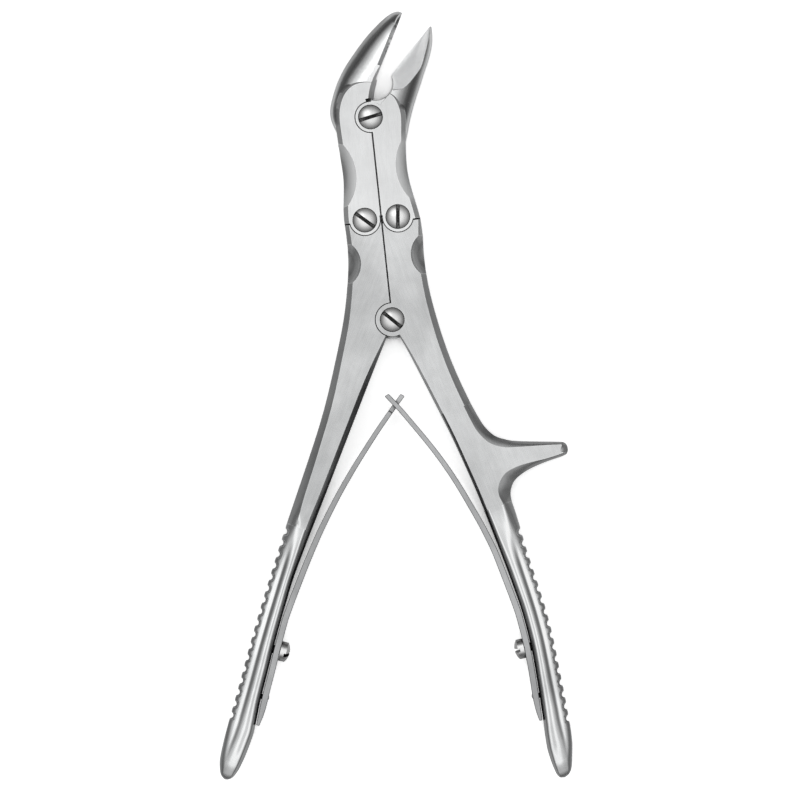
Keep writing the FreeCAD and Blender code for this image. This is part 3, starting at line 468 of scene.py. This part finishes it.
def smooth(points, at):
    """Height at one station of a smooth curve through a few points, never overshooting."""
    last = len(points) - 1
    steps = [(points[i + 1][1] - points[i][1]) / (points[i + 1][0] - points[i][0]) for i in range(last)]
    slopes = [steps[0]]
    for before, after in zip(steps, steps[1:]):
        slopes.append(0.0 if before * after <= 0 else 2 * before * after / (before + after))
    slopes.append(steps[-1])
    at = min(max(at, points[0][0]), points[-1][0])
    i = max(k for k in range(last) if points[k][0] <= at)
    run = points[i + 1][0] - points[i][0]
    t = (at - points[i][0]) / run
    return (
        (2 * t**3 - 3 * t**2 + 1) * points[i][1]
        + (t**3 - 2 * t**2 + t) * run * slopes[i]
        + (3 * t**2 - 2 * t**3) * points[i + 1][1]
        + (t**3 - t**2) * run * slopes[i + 1]
    )


def handle_frame(side):
    """Direction down a handle and direction out of its grip side."""
    turn = HANDLE_ANGLE[side]
    return (Vector((SIGN[side] * math.sin(turn), -math.cos(turn), 0)),
            Vector((SIGN[side] * math.cos(turn), math.sin(turn), 0)))


def leaf_line(side, station):
    seat = LEAF_GAP + LEAF_THICKNESS[-1][1] / 2
    clamped = [(at, smooth(INNER_SIDE[side], at) - seat) for at in CLAMPED]
    return smooth(FREE_LEAF[side] + clamped, station)


def leaf_point(side, station, across):
    """Point of a leaf in metres, across from its centre line towards the handle."""
    down, out = handle_frame(side)
    step = 0.2
    rise = leaf_line(side, station + step) - leaf_line(side, station - step)
    along = (down * (2 * step) + out * rise).normalized()
    toward = along.cross(UP)
    toward = toward if toward.dot(out) > 0 else -toward
    return (down * station + out * leaf_line(side, station) + toward * across) * MM


def leaf_cells(side, stations, rows):
    """Which cells of the strip are metal: a tongue on the left leaf, a slot in the right one."""
    tip = stations[0]
    kept = set()
    for i in range(len(stations) - 1):
        middle = (stations[i] + stations[i + 1]) / 2 - tip
        for j in range(len(rows) - 1):
            inner_row = abs(rows[j] + rows[j + 1]) < 0.1
            if side == "left":
                metal = inner_row or middle > TONGUE["length"]
            else:
                metal = not (inner_row and SLOT["beyond"] < middle < SLOT["beyond"] + SLOT["length"])
            if metal:
                kept.add((i, j))
    return kept


def leaf_stations(side):
    tip = FREE_LEAF[side][0][0]
    marks = [TONGUE["length"]] if side == "left" else [SLOT["beyond"], SLOT["beyond"] + SLOT["length"]]
    even = {tip + i * LEAF_STEP for i in range(int((LEAF_FOOT - tip) / LEAF_STEP))}
    stations = sorted({tip + mark for mark in marks} | even | {LEAF_FOOT})
    return [at for i, at in enumerate(stations) if i == 0 or at - stations[i - 1] > CLOSEST_STATIONS]


def leaf_strip(bm, side):
    """One bent strip with its tongue or slot, and square edges."""
    half = LEAF_WIDTH / 2
    inner = (TONGUE if side == "left" else SLOT)["width"] / 2
    stations = leaf_stations(side)
    rows = [-half, -inner, inner, half]
    corners = {}
    for i, at in enumerate(stations):
        thick = smooth(LEAF_THICKNESS, at)
        into_foot = max(0.0, (at - LEAF_FOOT + FOOT_GRIND["length"]) / FOOT_GRIND["length"])
        ground_off = FOOT_GRIND["depth"] * into_foot**2
        for j, row in enumerate(rows):
            for k, across in enumerate((-thick / 2 + ground_off, thick / 2)):
                point = leaf_point(side, at, across)
                corners[i, j, k] = bm.verts.new((point.x, point.y, MIDDLE_HEIGHT + row * MM))
    cells = leaf_cells(side, stations, rows)
    for i, j in cells:
        ring = [(i, j), (i + 1, j), (i + 1, j + 1), (i, j + 1)]
        for k in (0, 1):
            bm.faces.new([corners[a, b, k] for a, b in ring])
        neighbours = [(i, j - 1), (i + 1, j), (i, j + 1), (i - 1, j)]
        for n, neighbour in enumerate(neighbours):
            if neighbour not in cells:
                (a, b), (c, d) = ring[n], ring[(n + 1) % 4]
                bm.faces.new([corners[a, b, 0], corners[c, d, 0], corners[c, d, 1], corners[a, b, 1]])
    loose = [vert for vert in bm.verts if not vert.link_faces]
    bmesh.ops.delete(bm, geom=loose, context="VERTS")


def leaf(side, material):
    bm = bmesh.new()
    leaf_strip(bm, side)
    bmesh.ops.recalc_face_normals(bm, faces=bm.faces)
    sharp = [edge for edge in bm.edges if edge.calc_face_angle(0) > LEAF_CORNER]
    bmesh.ops.bevel(bm, geom=sharp, offset=LEAF_EDGE, segments=3, affect="EDGES", profile=0.6)
    mesh = bpy.data.meshes.new("leaf_" + side)
    bm.to_mesh(mesh)
    bm.free()
    for polygon in mesh.polygons:
        polygon.use_smooth = True
    mesh.materials.append(material)
    piece = link(bpy.data.objects.new("leaf_" + side, mesh))
    foot, free_end = leaf_point(side, BEND_FROM, 0), leaf_point(side, FREE_LEAF[side][0][0], 0)
    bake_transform(piece)
    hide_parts("spring_" + side)


# Handles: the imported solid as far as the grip, then a finer grip with rounded scallops

# after part.py with a rounder end, millimetres, by distance from the handle pivot: outer side of each handle,
# widths of the bevels on its face, heights of its upright sides, swell of its face, drop of the outer bevel,
# swell of that bevel, and half thickness
OUTER_SIDE = {
    "left": [
        (23, 13.5), (46, 11.45), (84, 10.75), (102, 10.1), (119, 9.2), (137, 7.8), (151, 6.8),
        (159, 6.1), (165, 5.25), (168.8, 3.9), (170.2, 3.0), (171, 1.95),
    ],
    "right": [
        (60, 17.4), (76, 17.2), (92, 16.3), (110, 15.6), (120, 14.8), (136, 12.4), (150, 10.1),
        (160, 8.0), (165, 6.2), (168.8, 4.55), (170.2, 3.45), (171, 2.3),
    ],
}
OUTER_BEVEL = [(40, 2.7), (70, 3.1), (92, 3.6), (150, 3.4), (160, 2.6), (167, 1.6), (171, 0.5)]
INNER_BEVEL = {
    "left": [(60, 2.1), (80, 2.05), (97, 1.2), (150, 1.1), (160, 1.2), (167, 1.0), (171, 0.4)],
    "right": [(60, 1.1), (90, 1.2), (160, 1.1), (167, 0.9), (171, 0.4)],
}
OUTER_STRIP = [(50, 3.4), (74, 2.4), (92, 2.4), (150, 2.2), (162, 1.4), (171, 0.3)]
INNER_STRIP = [(50, 3.8), (80, 2.9), (150, 2.6), (162, 1.6), (171, 0.3)]
CROWN = [(76, 0), (82, 0.12), (97, 0.65), (155, 0.65), (171, 0.1)]
CREASE = [(70, 0), (80, 0.2), (97, 0.85), (155, 0.85), (171, 0.1)]
BULGE = [(60, 0.1), (95, 0.45), (160, 0.4), (171, 0.1)]
HALF_THICKNESS = [
    (62, 6.25), (74, 6.05), (88, 5.15), (104, 4.75), (145.4, 4.65), (159.4, 4.2), (165.4, 3.5), (168.9, 2.5),
    (170.2, 1.9), (171, 1.1),
]
HANDLE_END = 171.26
NOTCH_COUNT = 17
NOTCH_PITCH = 4.18
NOTCH_START = {"left": 82.4, "right": 85.3}
NOTCH_DEPTH = 1.0
NOTCH_RADIUS = 1.1
# the bumps between the notches are crowned, and a notch fades out over this far in from the outer side
BUMP_CROWN = {"depth": 0.34, "power": 1.6}
NOTCH_FADE = (0.35, 1.8)
NOTCH_SINK = 0.3
# stations past the last notch that still need the notches' fine steps
PAST_NOTCHES = 1.5
GRIP_START = {"left": 79.5, "right": 74.0}
WELD = 0.002 * MM
NEAR_PLANE = 0.0001 * MM
# points of a section from the middle of its inner side to the middle of its outer side
SECTION_POINTS = 54
FACE_POINTS = 14
BEVEL_POINTS = 18
EASING_ROUNDS = 3
# an upright side takes at most this share of the height
UPRIGHT_SHARE = 0.8
BULGE_SHARE = 0.7
# faint groove along the crease of the face
GROOVE = {"depth": 0.04, "width": 0.55, "from": 84, "to": 168, "fade": 12}
# steps between sections along the notches, along the smooth end and round the tip
GRIP_STEPS = {"notches": 0.26, "smooth": 0.75, "tip": 0.25}
TIP_FROM = 164


def parabola(first, second, third, count):
    """Points of a parabola through three points, without the first."""
    points = []
    for i in range(1, count + 1):
        t = i / count
        a, b, c = (1 - t) * (1 - 2 * t), 4 * t * (1 - t), t * (2 * t - 1)
        points.append(tuple(a * p + b * q + c * r for p, q, r in zip(first, second, third)))
    return points


def resampled(points, count):
    """As many points in even steps along a line of points."""
    lengths = [0.0]
    for a, b in zip(points, points[1:]):
        lengths.append(lengths[-1] + math.dist(a, b))
    even, k = [], 0
    for i in range(count):
        at = lengths[-1] * i / (count - 1)
        while k < len(points) - 2 and lengths[k + 1] < at:
            k += 1
        t = (at - lengths[k]) / max(lengths[k + 1] - lengths[k], 1e-9)
        even.append(tuple((1 - t) * p + t * q for p, q in zip(points[k], points[k + 1])))
    return even


def softened(points, rounds):
    """Corners eased; the ends stay on the middle plane, square to it."""
    for _ in range(rounds):
        inner = [
            tuple((p + 2 * q + r) / 4 for p, q, r in zip(before, here, after))
            for before, here, after in zip(points, points[1:], points[2:])
        ]
        points = [points[0]] + inner + [points[-1]]
    return points


def notch(side, station):
    """Depth of the scalloped edge at one station."""
    nearest = round((station - NOTCH_START[side]) / NOTCH_PITCH)
    nearest = min(max(nearest, 0), NOTCH_COUNT - 1)
    off = abs(station - NOTCH_START[side] - nearest * NOTCH_PITCH)
    valley = math.sqrt(max(NOTCH_RADIUS**2 - off**2, 0)) - (NOTCH_RADIUS - NOTCH_DEPTH)
    half_bump = NOTCH_PITCH / 2
    crown = BUMP_CROWN["depth"] * (max(half_bump - off, 0) / half_bump) ** BUMP_CROWN["power"]
    return max(valley, crown, 0)


def grip_section(side, station):
    """Front half of a section, from the inner side to the outer side, as distance out and height."""
    outer, inner = smooth(OUTER_SIDE[side], station), smooth(INNER_SIDE[side], station)
    half = min(smooth(HALF_THICKNESS, station), MIDDLE_HEIGHT / MM)
    crease_at = outer - smooth(OUTER_BEVEL, station)
    crease = half - smooth(CREASE, station)
    face_at = inner + smooth(INNER_BEVEL[side], station)
    strip_out = min(smooth(OUTER_STRIP, station), UPRIGHT_SHARE * crease)
    strip_in = min(smooth(INNER_STRIP, station), UPRIGHT_SHARE * half)
    bulge = BULGE_SHARE * smooth(BULGE, station)
    middle = ((crease_at + face_at) / 2, (crease + half) / 2 + smooth(CROWN, station))
    shoulder = ((crease_at + outer) / 2 + bulge, (crease + strip_out) / 2 + bulge)
    points = [(inner, 0.0), (inner, strip_in), (face_at, half)]
    points += parabola((face_at, half), middle, (crease_at, crease), FACE_POINTS)
    points += parabola((crease_at, crease), shoulder, (outer, strip_out), BEVEL_POINTS)
    points.append((outer, 0.0))
    points = softened(resampled(points, SECTION_POINTS), EASING_ROUNDS)
    depth = notch(side, station)
    into = min(station - GROOVE["from"], GROOVE["to"] - station) / GROOVE["fade"]
    deep = GROOVE["depth"] * min(1.0, max(0.0, into))
    fade_from, fade_to = NOTCH_FADE
    shaped = []
    for off, height in points:
        inward = min(max((outer - off - fade_from) / (fade_to - fade_from), 0.0), 1.0)
        filed = depth * (1 - inward * inward * (3 - 2 * inward))
        if height > 1:
            height -= deep * math.exp(-(((off - crease_at) / GROOVE["width"]) ** 2))
        shaped.append((off - filed, height * (1 - NOTCH_SINK * filed)))
    return shaped


def skin(bm, rings):
    """Faces between rings of as many points each, and over the first ring."""
    for ring, after in zip(rings, rings[1:]):
        for i in range(len(ring)):
            j = (i + 1) % len(ring)
            bm.faces.new((ring[i], ring[j], after[j], after[i]))
    bm.faces.new(rings[0])


def grip_stations(side):
    last_notch = NOTCH_START[side] + (NOTCH_COUNT - 1) * NOTCH_PITCH
    stations = [GRIP_START[side]]
    while stations[-1] < HANDLE_END - GRIP_STEPS["tip"]:
        at = stations[-1]
        place = "notches" if at < last_notch + PAST_NOTCHES else "smooth" if at < TIP_FROM else "tip"
        stations.append(at + GRIP_STEPS[place])
    return stations[:-1]


def grip(bm, side):
    """Grip of one handle as a closed solid."""
    down, out = handle_frame(side)
    rings = []
    for at in grip_stations(side):
        front = grip_section(side, at)
        back = [(off, -height) for off, height in front[-2:0:-1]]
        ring = []
        for off, height in front + back:
            point = (down * at + out * off) * MM
            ring.append(bm.verts.new((point.x, point.y, MIDDLE_HEIGHT + height * MM)))
        rings.append(ring)
    skin(bm, rings)
    middle = (OUTER_SIDE[side][-1][1] + INNER_SIDE[side][-1][1]) / 2
    tip = (down * HANDLE_END + out * middle) * MM
    point = bm.verts.new((tip.x, tip.y, MIDDLE_HEIGHT))
    last = rings[-1]
    for i in range(len(last)):
        bm.faces.new((last[i], last[(i + 1) % len(last)], point))


def solid_part(bm, node, at, along):
    """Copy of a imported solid's mesh as far as a plane, closed there."""
    bm.from_mesh(nodes[node].data)
    bmesh.ops.remove_doubles(bm, verts=bm.verts, dist=WELD)
    everything = bm.verts[:] + bm.edges[:] + bm.faces[:]
    cut = bmesh.ops.bisect_plane(bm, geom=everything, dist=NEAR_PLANE, plane_co=at, plane_no=along,
                                 clear_outer=True)
    edges = [item for item in cut["geom_cut"] if isinstance(item, bmesh.types.BMEdge)]
    bmesh.ops.triangle_fill(bm, edges=edges, use_beauty=True)


# middle of the right handle with its finger spur, millimetres: distance from the handle pivot and out of the
# handle's axis, width of the bevel, and height of the upright edge from the middle
SPUR_EDGE = [
    (37, 15.65, 2.7, 3.4), (42, 16.4, 2.9, 3.5), (46.3, 17.4, 3.1, 3.6), (50.3, 19.4, 3.1, 3.8),
    (53, 22.6, 2.8, 4.0), (54.9, 26.1, 2.1, 4.1), (58.2, 34.4, 1.3, 4.3), (60.2, 39.6, 0.95, 4.5),
    (61.1, 41.5, 1.2, 4.4), (62.6, 42.1, 2.6, 4.2), (64.5, 41.6, 2.5, 4.2), (65.4, 39.9, 1.0, 4.4),
    (65.3, 33.7, 1.1, 4.3), (65.6, 27.8, 2.1, 4.0), (66.4, 23.7, 3.2, 3.6), (67.7, 20.6, 4.2, 3.2),
    (69.7, 18.7, 4.6, 2.9), (71.6, 17.7, 4.2, 2.7), (74, 17.25, 3.2, 2.4),
]
INNER_EDGE = [
    (37, 4.35, 1.05, 3.8), (46, 5.35, 1.1, 3.8), (60, 6.4, 1.1, 3.5), (68, 6.85, 1.1, 3.25),
    (74, 7.05, 1.1, 3.05),
]
# beyond this distance out, the bevel of the spur's end leans towards one point
SPUR_END = 40.5
SPUR_FOCUS = (63, 37.5)
BEVEL_LEVELS = 5
BEVEL_SWELL = 0.25
SPUR_STEPS = 8
INNER_STEPS = 6
# the neck's outer edge is held to a straight line: two heights, then its start and its slope
NECK_SHAVE = (28, 42, 14.5, -0.15)
# edges below this angle are smooth, apart from those beside a flat face of many corners
SMOOTH_BELOW = math.radians(28)
FLAT_CORNERS = 20


def curve(points, steps):
    """Smooth line through points of any number of values."""
    before = [2 * p - q for p, q in zip(points[0], points[1])]
    beyond = [2 * p - q for p, q in zip(points[-1], points[-2])]
    padded = [before] + [list(point) for point in points] + [beyond]
    line = []
    for p, q, r, t in zip(padded, padded[1:], padded[2:], padded[3:]):
        for i in range(steps):
            u = i / steps
            line.append([
                b + u / 2 * (c - a + u * (2 * a - 5 * b + 4 * c - d + u * (3 * b - a - 3 * c + d)))
                for a, b, c, d in zip(p, q, r, t)
            ])
    line.append(list(points[-1]))
    return line


def edge_columns(bm, edge, steps, inward):
    """Columns of points over a bevelled edge, from the flat back to the flat front."""
    down, out = handle_frame("right")
    rows = []
    for i, (station, off, width, strip) in enumerate(edge):
        before, after = edge[max(i - 1, 0)], edge[min(i + 1, len(edge) - 1)]
        along = Vector((after[0] - before[0], after[1] - before[1])).normalized()
        way = Vector((-along.y, along.x)) * inward
        if i in (0, len(edge) - 1):
            way = Vector((0, inward))
        if off > SPUR_END:
            way = (Vector(SPUR_FOCUS) - Vector((station, off))).normalized()
        rows.append((station, off, station + way.x * width, off + way.y * width, strip))
    half = MIDDLE_HEIGHT / MM
    columns = []
    for station, off, inner_station, inner_off, strip in curve(rows, steps):
        front = []
        for i in range(BEVEL_LEVELS + 1):
            t = i / BEVEL_LEVELS
            swell = BEVEL_SWELL * math.sin(math.pi * t)
            front.append((station + (inner_station - station) * t, off + (inner_off - off) * t,
                          strip + (half - strip) * t + swell))
        back = [(at, away, -up) for at, away, up in reversed(front)]
        column = []
        for at, away, up in back + front:
            point = (down * at + out * away) * MM
            column.append(bm.verts.new((point.x, point.y, MIDDLE_HEIGHT + min(up, half) * MM)))
        columns.append(column)
    for column, after in zip(columns, columns[1:]):
        for i in range(len(column) - 1):
            bm.faces.new((column[i], column[i + 1], after[i + 1], after[i]))
    return columns


def spur_plate(bm):
    """Flat middle of the right handle, bevelled on both sides and round the finger spur."""
    outer = edge_columns(bm, SPUR_EDGE, SPUR_STEPS, -1)
    inner = edge_columns(bm, INNER_EDGE, INNER_STEPS, 1)
    for level in (0, -1):
        bm.faces.new([column[level] for column in outer] + [column[level] for column in reversed(inner)])
    for end in (0, -1):
        bm.faces.new(outer[end] + inner[end][::-1])


def handle(side, material):
    down = handle_frame(side)[0]
    bm = bmesh.new()
    finer_from = SPUR_EDGE[0][0] if side == "right" else GRIP_START[side]
    solid_part(bm, "handle_" + side, down * (finer_from * MM), down)
    if side == "right":
        shave(bm, side, *NECK_SHAVE)
        spur_plate(bm)
    grip(bm, side)
    bmesh.ops.recalc_face_normals(bm, faces=bm.faces)
    finish_mesh(bm, "lever_" + side, material, "handle_" + side, "handle_" + side)


def finish_mesh(bm, name, material, body, node):
    """Piece that rides on a body and stands for one of its nodes."""
    for edge in bm.edges:
        beside_flat = any(len(face.verts) > FLAT_CORNERS for face in edge.link_faces)
        edge.smooth = edge.calc_face_angle(0) < SMOOTH_BELOW and not beside_flat
    for face in bm.faces:
        face.smooth = True
    mesh = bpy.data.meshes.new(name)
    bm.to_mesh(mesh)
    bm.free()
    mesh.materials.append(material)
    piece = link(bpy.data.objects.new(name, mesh))
    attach(piece, body)
    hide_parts(node)


# Jaws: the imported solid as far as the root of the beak, then a finer beak

# after part.py with a finer tip, millimetres and degrees
PIVOT_SPAN = 71.28
RIM_ROOT = (18.0, 17.4)
RIM_TIP = (38.4, 23.1)
BITE_ANGLE = 16.15
BEAK_DEPTH = {
    "left": [(-7, 11.8), (0, 10.55), (7, 8.75), (12, 6.9), (16, 5), (18.5, 3.3), (19.5, 2.05), (20, 0.9)],
    "right": [
        (-10, 15.1), (-5, 12.8), (1, 10.5), (6, 8.6), (11, 6.75), (15, 4.75), (17.5, 2.9), (19, 1.55),
        (20, 0.5),
    ],
}
BEAK_HALF = [(-17, 5.9), (-5, 5.8), (3, 5.5), (11, 5), (15.5, 4.2), (18, 3), (19.3, 1.9), (20, 1.0)]
BEAK_SQUARENESS = [(-17, 2.9), (-6, 2.3), (2, 2.1), (20, 2)]
CUP = {"centre": 10.8, "length": 17.4, "width": 8.2, "depth": 4.4}
BEAK_START = {"left": 0.3, "right": -5.4}
# ground facet of the left rim: its width and its drop
FACET = (1.3, 2.6)
# right hollow: its ridge away from the rim line, and its floor below the middle plane
RIDGE = [(-5.6, 3.7), (-2.4, 6.2), (1, 6.7), (5.7, 6.6), (12.3, 4.3), (17, 2.1), (20, 0.4)]
HOLLOW_FLOOR = [(-5.6, 4.5), (-4, 1.5), (-1, -3.2), (2, -4.4), (10, -4.2), (16, -3.2), (20, -0.6)]
HOLLOW_ROUNDNESS = 1.8
# round notch at the root of the right rim: its centre and its radius at the back and the front
NOTCH_CENTRE = (-7.05, -2.8)
NOTCH_RADII = (5.85, 6.45)
# the tables of a beak's back are for a rim of this length
TABLE_LENGTH = 20
TIP_GAP = 0.2
# least heights of the hollow's floor over the rim, and of its ridge over the ground side
FLOOR_MARGIN = 0.1
RIDGE_MARGIN = 0.3
# the facet is at most this share of the beak's depth
FACET_SHARE = 0.3
BISECTIONS = 40
BEAK_STEPS = 72
RIM_POINTS = 40
BACK_POINTS = 48
# height at which a beak has steel all along, as a share of its half thickness
INSIDE = -0.55
# the left jaw's outer edge below its beak is held to a straight line, as the neck's
JAW_SHAVE = (61.8, 68, 12.2, 0.22)


def box_point(x, y):
    """Point of the box joint's own frame in millimetres, turned to where it lies."""
    across, along = math.cos(BOX_LEAN), math.sin(BOX_LEAN)
    return Vector((x * across - y * along, x * along + y * across, MIDDLE_HEIGHT / MM))


def rim(side):
    """Root of a cutting rim, its direction, its length and the way out of the beak's back."""
    ends = []
    for radius, angle in (RIM_ROOT, RIM_TIP):
        turn = math.radians(angle + (BITE_ANGLE if side == "right" else 0))
        ends.append(box_point(radius * math.sin(turn), PIVOT_SPAN + radius * math.cos(turn)))
    root, tip = ends
    along = (tip - root).normalized()
    return root, along, (tip - root).length, along.cross(UP) * SIGN[side]


def back_depth(depth, half, squareness, up):
    """How far out the rounded back of a beak lies at one height."""
    return depth * max(1 - abs(up / half) ** squareness, 0) ** (1 / squareness)


def left_ground(at, up, size):
    """How far out the ground side of the left beak lies at one height: its cup and the facet of its rim."""
    depth, half, squareness = size
    across = 1 - (2 * up / CUP["width"]) ** 2 - (2 * (at - CUP["centre"]) / CUP["length"]) ** 2
    width, drop = FACET
    facet = min(width, FACET_SHARE * depth) * min(max((up - half + drop) / drop, 0), 1)
    return max(CUP["depth"] * math.sqrt(max(across, 0)), facet)


def right_ground(at, up, size):
    """How far out the rim of the right beak lies at one height: on the rim line, or on the notch's wall."""
    centre, off = NOTCH_CENTRE
    low, high = NOTCH_RADII
    radius = low + (high - low) * (up * MM / BOX_THICKNESS + 0.5)
    return max(off + math.sqrt(max(radius**2 - (at - centre) ** 2, 0)), 0)


def crossing(ground, at, size, inside, outside):
    """Height at which the ground side meets the back."""
    for _ in range(BISECTIONS):
        middle = (inside + outside) / 2
        if back_depth(*size, middle) > ground(at, middle, size):
            inside = middle
        else:
            outside = middle
    return inside


def beak_section(side, at, length):
    """Closed ring of a beak, as distance out and height above the middle plane."""
    station = at * TABLE_LENGTH / length
    size = (smooth(BEAK_DEPTH[side], station), smooth(BEAK_HALF, station), smooth(BEAK_SQUARENESS, station))
    depth, half, squareness = size
    ground = left_ground if side == "left" else right_ground
    low = crossing(ground, at, size, INSIDE * half, -half)
    if side == "left":
        high = crossing(ground, at, size, INSIDE * half, half)
        heights = [low + (high - low) * i / RIM_POINTS for i in range(RIM_POINTS)]
        ring = [(ground(at, up, size), up) for up in heights]
    else:
        floor = max(smooth(HOLLOW_FLOOR, at), low + FLOOR_MARGIN)
        ridge = max(smooth(RIDGE, at), ground(at, 0, size) + RIDGE_MARGIN)
        high = half * max(1 - (ridge / depth) ** squareness, 0) ** (1 / squareness)
        ring = [(ground(at, up, size), up) for up in (low, (low + floor) / 2)]
        for i in range(RIM_POINTS - 2):
            way = i / (RIM_POINTS - 2)
            up = floor + (high - floor) * way**HOLLOW_ROUNDNESS
            base = ground(at, up, size)
            ring.append((base + (ridge - base) * way, up))
    start, end = math.asin(min(high / half, 1)), math.asin(max(low / half, -1))
    for i in range(BACK_POINTS):
        up = half * math.sin(start + (end - start) * i / BACK_POINTS)
        ring.append((back_depth(*size, up), up))
    return ring


def beak(bm, side):
    root, along, length, out = rim(side)
    first, last = BEAK_START[side], length - TIP_GAP
    rings = []
    for i in range(BEAK_STEPS + 1):
        # closer together towards the tip
        at = first + (last - first) * math.sin(math.pi / 2 * i / BEAK_STEPS)
        ring = []
        for off, up in beak_section(side, at, length):
            ring.append(bm.verts.new((root + along * at + out * off + UP * up) * MM))
        rings.append(ring)
    skin(bm, rings)
    bm.faces.new(rings[-1])


def shave(bm, side, low, high, start, slope):
    """Outer edge of a copy held to a straight line between two heights of the box joint, in millimetres."""
    across, along = box_point(1, 0), box_point(0, 1)
    across.z = along.z = 0
    for vert in bm.verts:
        height = vert.co.dot(along) / MM
        if low < height < high:
            over = SIGN[side] * vert.co.dot(across) / MM - start - slope * (height - low)
            if over > 0:
                vert.co -= across * (SIGN[side] * over * MM)


def jaw(side, material):
    root, along = rim(side)[:2]
    bm = bmesh.new()
    solid_part(bm, "jaw_" + side, (root + along * BEAK_START[side]) * MM, along)
    if side == "left":
        shave(bm, side, *JAW_SHAVE)
    beak(bm, side)
    bmesh.ops.recalc_face_normals(bm, faces=bm.faces)
    finish_mesh(bm, "blade_" + side, material, "jaw_" + side, "jaw_" + side)


add_camera()
add_floor()
add_surroundings()
add_lamp()
steels = {"jaw_left": jaw_steel("left"), "jaw_right": jaw_steel("right")}
for side in SIGN:
    steels["handle_" + side] = handle_steel(side)
for name, material in steels.items():
    dress([name], material)
for side in SIGN:
    handle(side, steels["handle_" + side])
    jaw(side, steels["jaw_" + side])
dress([name for name in nodes if "screw" in name or "pin" in name], screw_steel())
drawn = spring_steel()
dress(["spring_left", "spring_right"], drawn)
for side in SIGN:
    leaf(side, drawn)

bpy.context.scene.view_settings.view_transform = "Standard"
